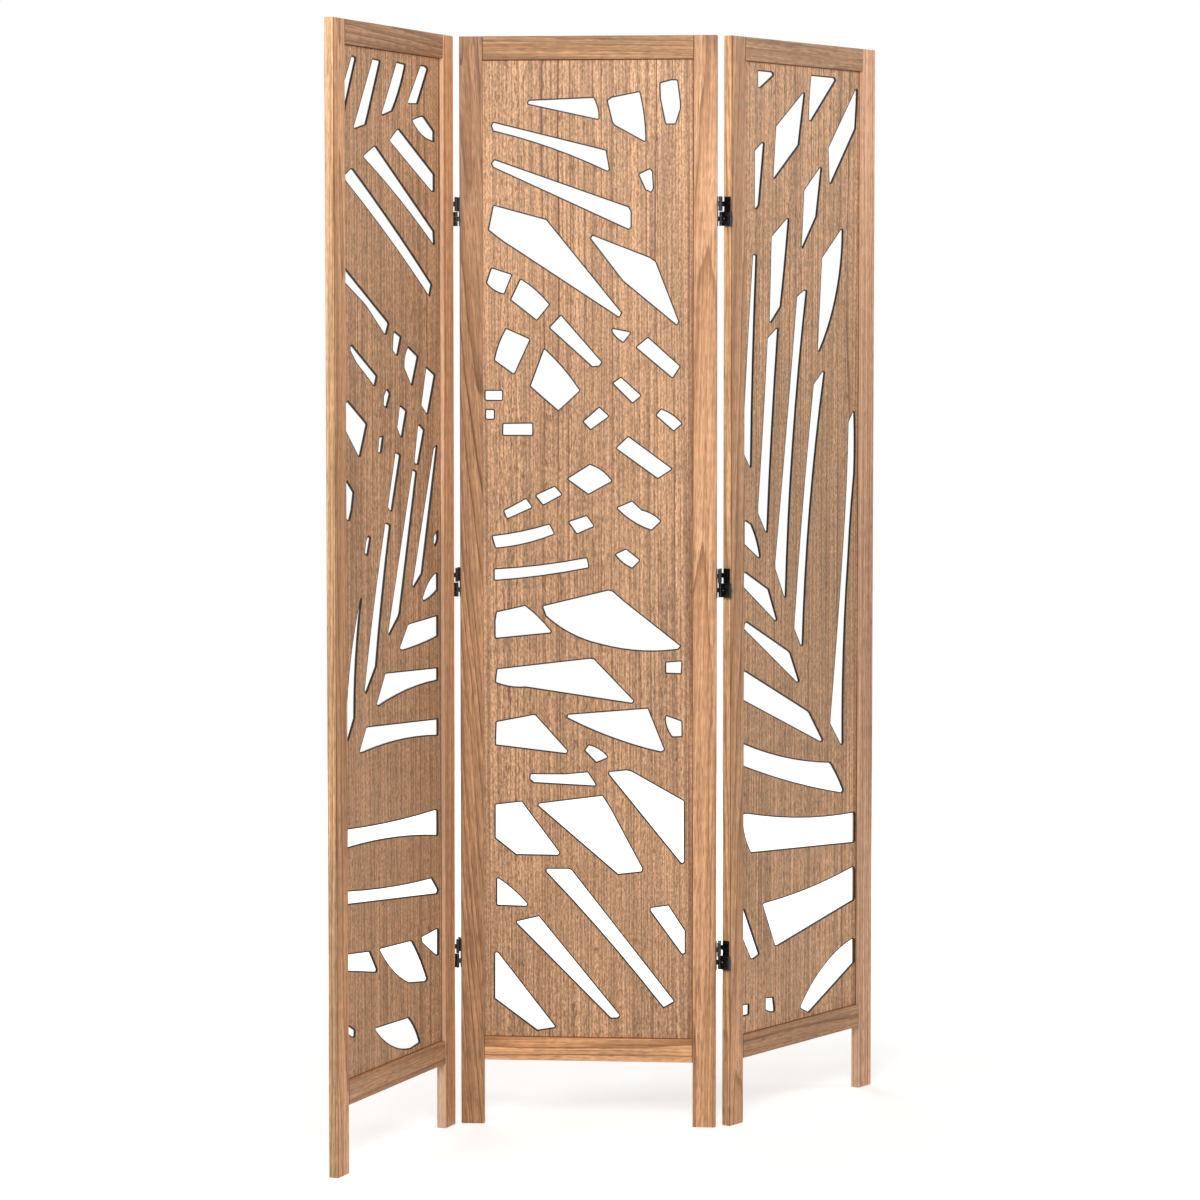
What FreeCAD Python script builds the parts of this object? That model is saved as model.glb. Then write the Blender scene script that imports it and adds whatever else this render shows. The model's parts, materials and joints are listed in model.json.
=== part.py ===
# Carved jali screen: a free-standing folding divider of three hinged panels.
#
# A panel is two full-height stiles, whose lower ends are its legs, and two rails, round a thin
# sheet with carved openings. In a panel's own frame X runs across it from its left edge as seen
# from the front, Y from its front face to its back face, and Z up from the floor.
#
# Three hinges join each pair of panels. A hinge has a leaf on each stile's edge and two straps
# between them, with pins beyond the panels' front and back faces, so that it can fold either
# way. The left panel stands folded forward about the front pins, and the right panel backward
# about the back pins. In a hinge's own frame the origin is in the middle of the gap between the
# stiles, half way through their thickness and half way up the hinge.
import FreeCAD
import Part

import math
import os

import Sketcher
from FreeCAD import Placement, Rotation, Vector

SIZES = {
    # Frame of a panel
    "panel_width": "400",
    "panel_height": "1700",
    "frame_thickness": "15",
    "stile_width": "36",
    "top_rail_height": "36",
    "bottom_rail_height": "36",
    "leg_height": "102",
    # Carved sheet and the grooves that hold it
    "fret_thickness": "3",
    "groove_depth": "6.5",
    "groove_side_clearance": "0.1",
    "groove_end_clearance": "0.5",
    "cut_corner_radius": "1.5",
    "least_rounded_turn": "5",
    # Dowels between rails and stiles
    "dowel_diameter": "6",
    "dowel_length": "32",
    "dowel_spacing": "12",
    "dowel_side_clearance": "0.05",
    "dowel_end_clearance": "1",
    # Panels as they stand
    "panel_gap": "10",
    "left_fold_angle": "71.3",
    "right_fold_angle": "57",
    # Hinges on a panel's edge
    "hinge_end_distance": "270",
    "middle_hinge_rise": "4",
    "hinge_height": "45",
    "hinge_split": "1",
    "plate_thickness": "1.2",
    "leaf_inset": "1.5",
    "pivot_offset": "2",
    "pin_diameter": "2",
    "pin_clearance": "0.05",
    "knuckle_diameter": "5.2",
    "knuckle_play": "0.2",
    "strap_knuckle_height": "7",
    "notch_clearance": "0.4",
    "screw_access_diameter": "8",
    # Hinge screws
    "screw_diameter": "3",
    "screw_length": "14",
    "screw_point_length": "3",
    "screw_head_diameter": "5.4",
    "recess_length": "3",
    "recess_width": "0.6",
    "recess_depth": "0.8",
    "screw_side_clearance": "0.05",
    "screw_end_clearance": "1",
    # How far a cutting piece runs past what it cuts
    "cut_overrun": "1",
}

SIGHT_WIDTH = "(Sizes.panel_width - 2 * Sizes.stile_width)"
SIGHT_BOTTOM = "(Sizes.leg_height + Sizes.bottom_rail_height)"
SIGHT_HEIGHT = f"(Sizes.panel_height - Sizes.top_rail_height - {SIGHT_BOTTOM})"
HALF_THICKNESS = "(Sizes.frame_thickness / 2)"

GROOVE_WIDTH = "(Sizes.fret_thickness + 2 * Sizes.groove_side_clearance)"
GROOVE_FRONT = f"({HALF_THICKNESS} - {GROOVE_WIDTH} / 2)"
FRET_REACH = "(Sizes.groove_depth - Sizes.groove_end_clearance)"

DOWEL_HOLE_DIAMETER = "(Sizes.dowel_diameter + 2 * Sizes.dowel_side_clearance)"
DOWEL_HOLE_DEPTH = "(Sizes.dowel_length / 2 + Sizes.dowel_end_clearance)"

LEAF_WIDTH = "(Sizes.frame_thickness - 2 * Sizes.leaf_inset)"
PIN_DISTANCE = f"({HALF_THICKNESS} + Sizes.pivot_offset)"
PIN_HOLE_RADIUS = "(Sizes.pin_diameter / 2 + Sizes.pin_clearance)"
STRAP_HEIGHT = "((Sizes.hinge_height - Sizes.hinge_split) / 2)"
STRAP_MIDDLE = "((Sizes.hinge_height + Sizes.hinge_split) / 4)"
NOTCH_HEIGHT = f"({STRAP_HEIGHT} - 2 * Sizes.strap_knuckle_height)"
KNUCKLE_HEIGHT = f"({NOTCH_HEIGHT} - 2 * Sizes.knuckle_play)"
HINGE_HEIGHTS = {
    "low": "Sizes.hinge_end_distance",
    "middle": "(Sizes.panel_height / 2 + Sizes.middle_hinge_rise)",
    "top": "(Sizes.panel_height - Sizes.hinge_end_distance)",
}

SCREW_HOLE_RADIUS = "(Sizes.screw_diameter / 2 + Sizes.screw_side_clearance)"
SCREW_HEAD_HOLE_RADIUS = "(Sizes.screw_head_diameter / 2 + Sizes.screw_side_clearance)"
PILOT_HOLE_DEPTH = "(Sizes.screw_length - Sizes.plate_thickness + Sizes.screw_end_clearance)"

# The most of a short side of an opening that one rounded corner takes
CORNER_SHARE = 0.45

# How much higher than its table says a side panel's opening at mid height stands, as a share
# of the sight opening's height. Towards the rails this rise fades to nothing.
LEFT_MIDDLE_RISE_SHARE = 0.0027
RIGHT_MIDDLE_RISE_SHARE = 0.0037

# Openings of the fret panels, as shares of the sight opening: across from its left
# edge and up from its bottom edge. A point marked BOW is one that an arc runs through.
BOW = True

LEFT_OPENINGS_SHARES = [
    [(0.104, 0.9893), (0.144, 0.9883), (0.018, 0.9310), (0.016, 0.9585)],
    [(0.310, 0.9893), (0.386, 0.9885), (0.268, 0.9370), (0.240, 0.9255), (0.130, 0.9203),
     (0.120, 0.9212)],
    [(0.553, 0.9893), (0.643, 0.9882), (0.590, 0.9660, BOW), (0.507, 0.9418), (0.403, 0.9362),
     (0.400, 0.9378)],
    [(0.800, 0.9893), (0.850, 0.9893), (0.877, 0.9875), (0.768, 0.9518), (0.672, 0.9508),
     (0.668, 0.9525)],
    [(0.719, 0.9345), (0.812, 0.9388), (0.836, 0.9382), (0.939, 0.9250), (0.938, 0.9152),
     (0.905, 0.9163), (0.800, 0.9220, BOW), (0.717, 0.9330)],
    [(0.558, 0.9230), (0.580, 0.9230), (0.940, 0.8815), (0.940, 0.8650), (0.908, 0.8655),
     (0.482, 0.9112), (0.483, 0.9125)],
    [(0.322, 0.9042), (0.343, 0.9038), (0.936, 0.8240), (0.942, 0.8115), (0.930, 0.8115),
     (0.600, 0.8524, BOW), (0.219, 0.8930), (0.219, 0.8945)],
    [(0.090, 0.8802), (0.113, 0.8800), (0.500, 0.8290, BOW), (0.912, 0.7703), (0.890, 0.7590),
     (0.875, 0.7605), (0.500, 0.8122, BOW), (0.038, 0.8695), (0.034, 0.8742)],
    [(0.020, 0.7852), (0.464, 0.7312), (0.437, 0.7213), (0.417, 0.7215), (0.235, 0.7495),
     (0.020, 0.7722)],
    [(0.092, 0.7103), (0.341, 0.6795), (0.322, 0.6707), (0.311, 0.6710), (0.140, 0.6935),
     (0.080, 0.7055), (0.081, 0.7085)],
    [(0.520, 0.7230), (0.588, 0.7175), (0.553, 0.7002), (0.533, 0.7008), (0.503, 0.7050),
     (0.512, 0.7200)],
    [(0.664, 0.7075), (0.764, 0.6977), (0.705, 0.6702), (0.692, 0.6705), (0.623, 0.6870),
     (0.634, 0.7000, BOW)],
    [(0.852, 0.6870), (0.944, 0.6785), (0.870, 0.6405), (0.852, 0.6410), (0.799, 0.6490)],
    [(0.022, 0.6530), (0.052, 0.6563), (0.239, 0.6330), (0.172, 0.6028), (0.152, 0.6035),
     (0.027, 0.6290), (0.018, 0.6420)],
    [(0.438, 0.6655), (0.452, 0.6655), (0.474, 0.6617), (0.439, 0.6485), (0.408, 0.6510),
     (0.413, 0.6600)],
    [(0.572, 0.6480), (0.588, 0.6485), (0.643, 0.6438), (0.596, 0.6183), (0.575, 0.6205),
     (0.546, 0.6280)],
    [(0.364, 0.6190), (0.403, 0.6200), (0.381, 0.6045), (0.350, 0.6050)],
    [(0.762, 0.6280), (0.781, 0.6290), (0.828, 0.6235), (0.765, 0.5907), (0.735, 0.5908),
     (0.724, 0.5930)],
    [(0.526, 0.6022), (0.550, 0.6020), (0.577, 0.6003), (0.490, 0.5465), (0.470, 0.5468),
     (0.448, 0.5500)],
    [(0.702, 0.5840), (0.720, 0.5838), (0.7455, 0.5818), (0.567, 0.4440), (0.556, 0.4405),
     (0.460, 0.4240), (0.446, 0.4262)],
    [(0.929, 0.6045), (0.966, 0.6078), (0.801, 0.4800), (0.714, 0.4673), (0.700, 0.4695)],
    [(0.929, 0.5155), (0.970, 0.5215), (0.972, 0.5130), (0.941, 0.5052), (0.925, 0.5095)],
    [(0.246, 0.5235), (0.271, 0.5215), (0.241, 0.5050), (0.214, 0.5080), (0.228, 0.5185)],
    [(0.020, 0.5750), (0.040, 0.5793), (0.107, 0.5675), (0.088, 0.5510), (0.066, 0.5420),
     (0.046, 0.5415), (0.018, 0.5470)],
    [(0.420, 0.5335), (0.440, 0.5337), (0.471, 0.5315), (0.385, 0.4587, BOW), (0.324, 0.3950),
     (0.222, 0.3705), (0.207, 0.3740), (0.311, 0.4600, BOW)],
    [(0.1885, 0.4720), (0.129, 0.4116, BOW), (0.107, 0.3490), (0.041, 0.3282), (0.022, 0.3330),
     (0.060, 0.3960, BOW)],
    [(0.808, 0.4548), (0.868, 0.4690, BOW), (0.945, 0.4775), (0.966, 0.4770), (0.966, 0.4615),
     (0.890, 0.4555, BOW), (0.815, 0.4523)],
    [(0.569, 0.4095), (0.650, 0.4298), (0.670, 0.4307), (0.967, 0.4342), (0.967, 0.4145),
     (0.780, 0.4095, BOW), (0.600, 0.4066), (0.570, 0.4078)],
    [(0.415, 0.3855), (0.430, 0.3858), (0.966, 0.3810), (0.966, 0.3697), (0.700, 0.3675, BOW),
     (0.345, 0.3562), (0.329, 0.3578)],
    [(0.222, 0.3366), (0.240, 0.3368), (0.966, 0.3290), (0.966, 0.3135), (0.580, 0.3180, BOW),
     (0.175, 0.3140), (0.155, 0.3152)],
    [(0.020, 0.2425), (0.500, 0.2378, BOW), (0.935, 0.2376), (0.960, 0.2360), (0.960, 0.2118),
     (0.600, 0.2207, BOW), (0.018, 0.2253)],
    [(0.020, 0.1825), (0.450, 0.1736, BOW), (0.898, 0.1692), (0.966, 0.1555), (0.955, 0.1525),
     (0.018, 0.1708)],
    [(0.018, 0.1215), (0.240, 0.1168), (0.252, 0.1160), (0.323, 0.0965), (0.312, 0.0950),
     (0.018, 0.1063)],
    [(0.355, 0.1158), (0.672, 0.1130), (0.688, 0.1115), (0.780, 0.0895, BOW), (0.846, 0.0690),
     (0.830, 0.0673), (0.650, 0.0725), (0.500, 0.0883, BOW), (0.352, 0.1148)],
    [(0.786, 0.1130), (0.950, 0.1160), (0.968, 0.1145), (0.964, 0.0898), (0.935, 0.0908),
     (0.797, 0.1075)],
    [(0.020, 0.0525), (0.038, 0.0515), (0.098, 0.0450), (0.096, 0.0397), (0.072, 0.0400),
     (0.020, 0.0455)],
    [(0.304, 0.0392), (0.645, 0.0368), (0.712, 0.0242, BOW), (0.763, 0.0080), (0.670, 0.0058),
     (0.480, 0.0150, BOW), (0.303, 0.0378)],
]

MIDDLE_OPENINGS_SHARES = [
    [(0.220, 0.9585), (0.524, 0.9611), (0.5445, 0.9500, BOW), (0.548, 0.9400), (0.2135, 0.9558)],
    [(0.5925, 0.9583), (0.611, 0.9612), (0.7415, 0.9668), (0.7615, 0.9440, BOW), (0.7695, 0.9172),
     (0.6265, 0.9341), (0.6165, 0.9370)],
    [(0.841, 0.9755), (0.893, 0.9785), (0.919, 0.9783), (0.9325, 0.9560), (0.9325, 0.9500),
     (0.910, 0.9352), (0.868, 0.9352), (0.8435, 0.9600)],
    [(0.050, 0.9365), (0.582, 0.9080), (0.5975, 0.8890), (0.590, 0.8878), (0.298, 0.9135, BOW),
     (0.052, 0.9288), (0.043, 0.9335)],
    [(0.056, 0.8986), (0.689, 0.8506), (0.700, 0.8465), (0.700, 0.8310), (0.692, 0.8290),
     (0.052, 0.8920), (0.043, 0.8955)],
    [(0.741, 0.8840), (0.790, 0.8890), (0.801, 0.8865), (0.805, 0.8700), (0.798, 0.8665),
     (0.773, 0.8690)],
    [(0.051, 0.8525), (0.300, 0.8380), (0.655, 0.7440), (0.646, 0.7400), (0.145, 0.8105),
     (0.085, 0.8190, BOW), (0.029, 0.8285)],
    [(0.521, 0.8220), (0.790, 0.7995), (0.817, 0.7955), (0.9255, 0.7355), (0.920, 0.7320),
     (0.665, 0.7770), (0.513, 0.8195)],
    [(0.041, 0.7890), (0.134, 0.7825), (0.0985, 0.7637), (0.055, 0.7675, BOW), (0.019, 0.7745)],
    [(0.179, 0.7778), (0.248, 0.7670, BOW), (0.313, 0.7523), (0.255, 0.7370), (0.134, 0.7575)],
    [(0.370, 0.7410), (0.562, 0.6940), (0.550, 0.6905), (0.520, 0.6898), (0.318, 0.7290)],
    [(0.616, 0.7275), (0.700, 0.7240), (0.666, 0.7147), (0.635, 0.7195, BOW), (0.614, 0.7255)],
    [(0.783, 0.7185), (0.933, 0.6897), (0.899, 0.6785), (0.729, 0.7090)],
    [(0.110, 0.7275), (0.2205, 0.7170), (0.146, 0.6820), (0.056, 0.6960), (0.0695, 0.7080, BOW)],
    [(0.291, 0.7070), (0.385, 0.6860, BOW), (0.458, 0.6650), (0.3575, 0.6450), (0.226, 0.6695)],
    [(0.655, 0.6780), (0.748, 0.6600), (0.710, 0.6530), (0.619, 0.6725)],
    [(0.011, 0.6645), (0.0895, 0.6645), (0.0895, 0.6553), (0.011, 0.6555)],
    [(0.013, 0.6450), (0.050, 0.6450), (0.050, 0.6362), (0.013, 0.6362)],
    [(0.096, 0.6308), (0.233, 0.6312), (0.233, 0.6198), (0.094, 0.6198)],
    [(0.552, 0.6475), (0.5955, 0.6390), (0.511, 0.6258), (0.478, 0.6335)],
    [(0.846, 0.6458), (0.895, 0.6405, BOW), (0.942, 0.6317), (0.905, 0.6248), (0.824, 0.6400)],
    [(0.690, 0.6178), (0.895, 0.5855), (0.830, 0.5763), (0.634, 0.6065)],
    [(0.508, 0.5893), (0.560, 0.5838, BOW), (0.610, 0.5730), (0.500, 0.5600), (0.403, 0.5750)],
    [(0.340, 0.5668), (0.3725, 0.5590), (0.285, 0.5488), (0.251, 0.5580)],
    [(0.203, 0.5542), (0.231, 0.5460), (0.113, 0.5345), (0.099, 0.5420)],
    [(0.043, 0.5160), (0.180, 0.5207, BOW), (0.314, 0.5282), (0.336, 0.5190), (0.200, 0.5095, BOW),
     (0.059, 0.5045)],
    [(0.492, 0.5370), (0.525, 0.5270), (0.446, 0.5195), (0.408, 0.5310)],
    [(0.708, 0.5520), (0.752, 0.5430), (0.802, 0.5390, BOW), (0.842, 0.5323), (0.800, 0.5236),
     (0.712, 0.5325, BOW), (0.638, 0.5455)],
    [(0.680, 0.5030), (0.743, 0.4922), (0.708, 0.4848), (0.664, 0.4905, BOW), (0.631, 0.4980)],
    [(0.053, 0.4820), (0.290, 0.4868, BOW), (0.492, 0.4940), (0.500, 0.4848), (0.290, 0.4770, BOW),
     (0.053, 0.4715)],
    [(0.063, 0.4380), (0.198, 0.4447), (0.264, 0.4325, BOW), (0.3235, 0.4180), (0.057, 0.4120),
     (0.0565, 0.4290)],
    [(0.284, 0.4445), (0.595, 0.4610), (0.615, 0.4600), (0.668, 0.4500), (0.9365, 0.4048),
     (0.925, 0.4020), (0.740, 0.4004, BOW), (0.560, 0.4066), (0.400, 0.4195, BOW), (0.300, 0.4350)],
    [(0.065, 0.3795), (0.507, 0.3910), (0.526, 0.3905), (0.7155, 0.3482), (0.706, 0.3463),
     (0.200, 0.3622), (0.110, 0.3632, BOW), (0.058, 0.3665)],
    [(0.871, 0.3877), (0.943, 0.3890), (0.9395, 0.3770), (0.871, 0.3775)],
    [(0.404, 0.3333), (0.783, 0.3403), (0.861, 0.2985), (0.847, 0.2966), (0.780, 0.2998),
     (0.600, 0.3120, BOW), (0.400, 0.3307)],
    [(0.061, 0.3252), (0.238, 0.3328), (0.248, 0.3322), (0.400, 0.2960), (0.392, 0.2940),
     (0.057, 0.3022)],
    [(0.871, 0.3330), (0.943, 0.3275), (0.944, 0.3125), (0.901, 0.3122), (0.880, 0.3200, BOW),
     (0.8695, 0.3295)],
    [(0.503, 0.3020), (0.555, 0.2975, BOW), (0.592, 0.2900), (0.538, 0.2852), (0.485, 0.2970)],
    [(0.225, 0.2717), (0.390, 0.2719), (0.4965, 0.2743), (0.537, 0.2608), (0.240, 0.2638),
     (0.222, 0.2670)],
    [(0.263, 0.2415), (0.567, 0.2502), (0.606, 0.2368), (0.757, 0.1760), (0.753, 0.1728),
     (0.642, 0.1700), (0.261, 0.2398)],
    [(0.056, 0.2400), (0.180, 0.2434), (0.361, 0.1912), (0.353, 0.1890), (0.154, 0.1893),
     (0.056, 0.2060)],
    [(0.600, 0.2748), (0.683, 0.2768), (0.705, 0.2757), (0.955, 0.2457), (0.956, 0.1830),
     (0.945, 0.1818), (0.600, 0.2727)],
    [(0.301, 0.1742), (0.408, 0.1745), (0.420, 0.1730), (0.9095, 0.0390), (0.860, 0.0328),
     (0.600, 0.1008, BOW), (0.300, 0.1715)],
    [(0.063, 0.1645), (0.140, 0.1522, BOW), (0.206, 0.1380), (0.202, 0.1358), (0.063, 0.1365)],
    [(0.158, 0.1195), (0.262, 0.1250), (0.650, 0.0235), (0.638, 0.0212), (0.608, 0.0210),
     (0.158, 0.1180)],
    [(0.053, 0.0868), (0.065, 0.0868), (0.342, 0.0105), (0.255, 0.0073), (0.052, 0.0395)],
    [(0.799, 0.1350), (0.882, 0.1378), (0.960, 0.1120), (0.960, 0.0890), (0.948, 0.0885),
     (0.798, 0.1325)],
]

RIGHT_OPENINGS_SHARES = [
    [(0.130, 0.9905), (0.245, 0.9903), (0.260, 0.9882), (0.152, 0.9742), (0.131, 0.9740)],
    [(0.578, 0.9905), (0.775, 0.9903), (0.787, 0.9885), (0.577, 0.9435), (0.559, 0.9440),
     (0.5635, 0.9700, BOW)],
    [(0.281, 0.9345), (0.505, 0.9712), (0.5205, 0.9715), (0.471, 0.9172), (0.270, 0.8813),
     (0.259, 0.8820)],
    [(0.105, 0.9080), (0.160, 0.9160), (0.181, 0.9165), (0.139, 0.8525), (0.118, 0.8487),
     (0.105, 0.8492)],
    [(0.727, 0.9155), (0.966, 0.9805), (0.980, 0.9795), (0.963, 0.9385), (0.752, 0.8790),
     (0.738, 0.8790)],
    [(0.520, 0.8695), (0.651, 0.8938), (0.668, 0.8940), (0.625, 0.8430), (0.508, 0.8095),
     (0.500, 0.8105)],
    [(0.246, 0.8200), (0.372, 0.8390), (0.3895, 0.8390), (0.357, 0.7900, BOW), (0.324, 0.7480),
     (0.243, 0.7315), (0.231, 0.7325)],
    [(0.092, 0.8003), (0.121, 0.8003), (0.096, 0.7000, BOW), (0.080, 0.5830), (0.070, 0.5830),
     (0.021, 0.5965), (0.022, 0.6350), (0.055, 0.7200, BOW)],
    [(0.215, 0.7148), (0.286, 0.7243), (0.303, 0.7250), (0.258, 0.6300, BOW), (0.217, 0.5143),
     (0.200, 0.5158), (0.140, 0.5342), (0.140, 0.5420), (0.181, 0.6280, BOW)],
    [(0.462, 0.7580), (0.520, 0.7645), (0.544, 0.7640), (0.440, 0.6200, BOW), (0.374, 0.4448),
     (0.360, 0.4460), (0.285, 0.4755), (0.284, 0.4820), (0.372, 0.6130, BOW)],
    [(0.675, 0.7990), (0.838, 0.8293), (0.8555, 0.8295), (0.815, 0.7690, BOW), (0.657, 0.7013),
     (0.641, 0.7015)],
    [(0.607, 0.6660), (0.682, 0.6785), (0.701, 0.6785), (0.569, 0.5180, BOW), (0.520, 0.3930),
     (0.505, 0.3925), (0.447, 0.4110), (0.449, 0.4170), (0.500, 0.5095, BOW)],
    [(0.952, 0.6350), (0.965, 0.6355), (0.970, 0.6000, BOW), (0.966, 0.5690), (0.942, 0.5330, BOW),
     (0.918, 0.4820), (0.881, 0.3880, BOW), (0.872, 0.2820), (0.853, 0.2825), (0.762, 0.3060),
     (0.766, 0.3150), (0.834, 0.4250, BOW), (0.873, 0.4980), (0.901, 0.5650, BOW), (0.913, 0.6245)],
    [(0.029, 0.5270), (0.042, 0.5270), (0.084, 0.5230), (0.125, 0.5090, BOW), (0.158, 0.4895),
     (0.142, 0.4890), (0.029, 0.5038)],
    [(0.021, 0.4735), (0.036, 0.4743), (0.213, 0.4560), (0.229, 0.4543), (0.301, 0.4220),
     (0.282, 0.4222), (0.021, 0.4600)],
    [(0.030, 0.4205), (0.044, 0.4235), (0.405, 0.3872), (0.416, 0.3850), (0.491, 0.3550),
     (0.470, 0.3550), (0.028, 0.4165)],
    [(0.021, 0.3720), (0.036, 0.3728), (0.560, 0.3228), (0.580, 0.3203), (0.697, 0.2895),
     (0.680, 0.2882), (0.021, 0.3440)],
    [(0.023, 0.2985), (0.380, 0.2770, BOW), (0.758, 0.2640), (0.774, 0.2620), (0.830, 0.2480, BOW),
     (0.880, 0.2325), (0.868, 0.2303), (0.480, 0.2485, BOW), (0.023, 0.2762)],
    [(0.022, 0.2262), (0.060, 0.2258), (0.480, 0.2120, BOW), (0.983, 0.2062), (0.983, 0.1765),
     (0.973, 0.1750), (0.090, 0.1857), (0.048, 0.1990, BOW), (0.023, 0.2160)],
    [(0.016, 0.1290), (0.032, 0.1280), (0.157, 0.0787), (0.108, 0.0757), (0.090, 0.0765),
     (0.016, 0.1010)],
    [(0.188, 0.1293), (0.210, 0.1300), (0.580, 0.1356, BOW), (0.965, 0.1482), (0.983, 0.1460),
     (0.983, 0.1150), (0.973, 0.1130), (0.315, 0.0835), (0.292, 0.0845)],
    [(0.016, 0.0298), (0.072, 0.0292), (0.071, 0.0195), (0.016, 0.0193)],
    [(0.214, 0.0310), (0.277, 0.0297), (0.289, 0.0158), (0.262, 0.0160), (0.214, 0.0195)],
    [(0.512, 0.0135), (0.710, 0.0495, BOW), (0.965, 0.0715), (0.983, 0.0700), (0.983, 0.0465),
     (0.583, 0.0052), (0.512, 0.0118)],
]

ALONG_X = Rotation(Vector(0, 1, 0), 90)
HALF_TURN = Rotation(Vector(0, 0, 1), 180)
UPSIDE_DOWN = Rotation(Vector(1, 0, 0), 180)

doc = FreeCAD.newDocument("CarvedJaliScreen")
sheet = doc.addObject("Spreadsheet::Sheet", "Sizes")
for row, (alias, number) in enumerate(SIZES.items(), start=1):
    sheet.set(f"A{row}", alias)
    sheet.set(f"B{row}", number)
    sheet.setAlias(f"B{row}", alias)
doc.recompute()


def value(expression):
    """Number that an expression on the sheet gives."""
    return float(sheet.evalExpression(expression))


def point(x, y, z="0"):
    """Point whose coordinates are expressions on the sheet."""
    return Vector(value(x), value(y), value(z))


def bind(piece, **sizes):
    """Tie sizes of a piece to expressions on the sheet."""
    for name, expression in sizes.items():
        piece.setExpression(name, expression)


def bind_place(piece, corner, path="Placement.Base"):
    """Tie the place of a piece to expressions on the sheet."""
    for axis, expression in zip("xyz", corner):
        piece.setExpression(f"{path}.{axis}", expression)


# Sketches and features of the wooden pieces


def make_body(name):
    """Empty body for a sub-part."""
    body = doc.addObject("PartDesign::Body", name)
    body.Label = name
    return body


def make_sketch(body, name, role, offset):
    """Sketch on one of the body's own origin planes, set off by three expressions."""
    sketch = body.newObject("Sketcher::SketchObject", f"{body.Name}_{name}")
    plane = next(feature for feature in body.Origin.OriginFeatures if feature.Role == role)
    sketch.AttachmentSupport = [(plane, "")]
    sketch.MapMode = "FlatFace"
    bind_place(sketch, offset, "AttachmentOffset.Base")
    return sketch


def add_dimension(sketch, kind, places, expression):
    """Dimension of a sketch that follows the sheet."""
    index = sketch.addConstraint(Sketcher.Constraint(kind, *places, value(expression)))
    sketch.setExpression(f"Constraints[{index}]", expression)


def add_rectangle(sketch, width, height):
    """Rectangle with its low corner at the sketch's origin."""
    across = point(width, "0")
    up = point("0", height)
    corners = [Vector(), across, across + up, up]
    for start, end in zip(corners, corners[1:] + corners[:1]):
        sketch.addGeometry(Part.LineSegment(start, end))
    for side in range(4):
        sketch.addConstraint(Sketcher.Constraint("Coincident", side, 2, (side + 1) % 4, 1))
    sketch.addConstraint(Sketcher.Constraint("Coincident", 0, 1, -1, 1))
    for side, direction in enumerate(("Horizontal", "Vertical") * 2):
        sketch.addConstraint(Sketcher.Constraint(direction, side))
    add_dimension(sketch, "DistanceX", (0, 1, 0, 2), width)
    add_dimension(sketch, "DistanceY", (1, 1, 1, 2), height)


def add_circle(sketch, across, up, diameter):
    """Circle in a sketch, with its middle and its diameter tied to the sheet."""
    circle = Part.Circle(point(across, up), Vector(0, 0, 1), value(diameter) / 2)
    index = sketch.addGeometry(circle)
    add_dimension(sketch, "DistanceX", (-1, 1, index, 3), across)
    add_dimension(sketch, "DistanceY", (-1, 1, index, 3), up)
    add_dimension(sketch, "Diameter", (index,), diameter)


def add_feature(sketch, kind, length, reverse=False, side="One side"):
    """Pad or pocket of a sketch, in the sketch's own body."""
    body = sketch.getParentGeoFeatureGroup()
    feature = body.newObject(f"PartDesign::{kind}", f"{sketch.Name}_{kind.lower()}")
    feature.Profile = sketch
    feature.SideType = side
    feature.Reversed = reverse
    bind(feature, Length=length)


def drill(body, name, face, heights, diameter, depth, reverse=False):
    """Row of holes at half the thickness, drilled along X from the face at that X."""
    sketch = make_sketch(body, name, "YZ_Plane", ("0", "0", face))
    for height in heights:
        add_circle(sketch, HALF_THICKNESS, height, diameter)
    add_feature(sketch, "Pocket", depth, reverse)


# Panels


def rail_dowel_heights(rail_height):
    """Heights of a rail's two dowels above its outer edge, in the wood that isn't grooved."""
    middle = f"({rail_height} - Sizes.groove_depth) / 2"
    return [f"({middle} - Sizes.dowel_spacing / 2)", f"({middle} + Sizes.dowel_spacing / 2)"]


def panel_dowel_heights():
    """Heights of the dowels of both rails above the floor."""
    low = [f"(Sizes.leg_height + {up})" for up in rail_dowel_heights("Sizes.bottom_rail_height")]
    high = [f"(Sizes.panel_height - {down})" for down in rail_dowel_heights("Sizes.top_rail_height")]
    return low + high


def hinge_screw_heights():
    """Heights of the hinge screws on a panel's edge."""
    return [f"({height} {sign} {STRAP_MIDDLE})" for height in HINGE_HEIGHTS.values() for sign in "-+"]


def make_stile(name, hinged):
    """Stile with its outer edge at X 0 and its foot at Z 0; its other edge is grooved."""
    body = make_body(name)
    outline = make_sketch(body, "outline", "XY_Plane", ("0", "0", "0"))
    add_rectangle(outline, "Sizes.stile_width", "Sizes.frame_thickness")
    add_feature(outline, "Pad", "Sizes.panel_height")
    groove_bottom = f"{SIGHT_BOTTOM} - Sizes.groove_depth"
    groove = make_sketch(body, "groove", "YZ_Plane", (GROOVE_FRONT, groove_bottom, "Sizes.stile_width"))
    add_rectangle(groove, GROOVE_WIDTH, f"{SIGHT_HEIGHT} + 2 * Sizes.groove_depth")
    add_feature(groove, "Pocket", "Sizes.groove_depth")
    drill(body, "dowel_holes", "Sizes.stile_width", panel_dowel_heights(), DOWEL_HOLE_DIAMETER,
          DOWEL_HOLE_DEPTH)
    if hinged:
        drill(body, "screw_holes", "0", hinge_screw_heights(), f"2 * {SCREW_HOLE_RADIUS}",
              PILOT_HOLE_DEPTH, reverse=True)
    return body


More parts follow.
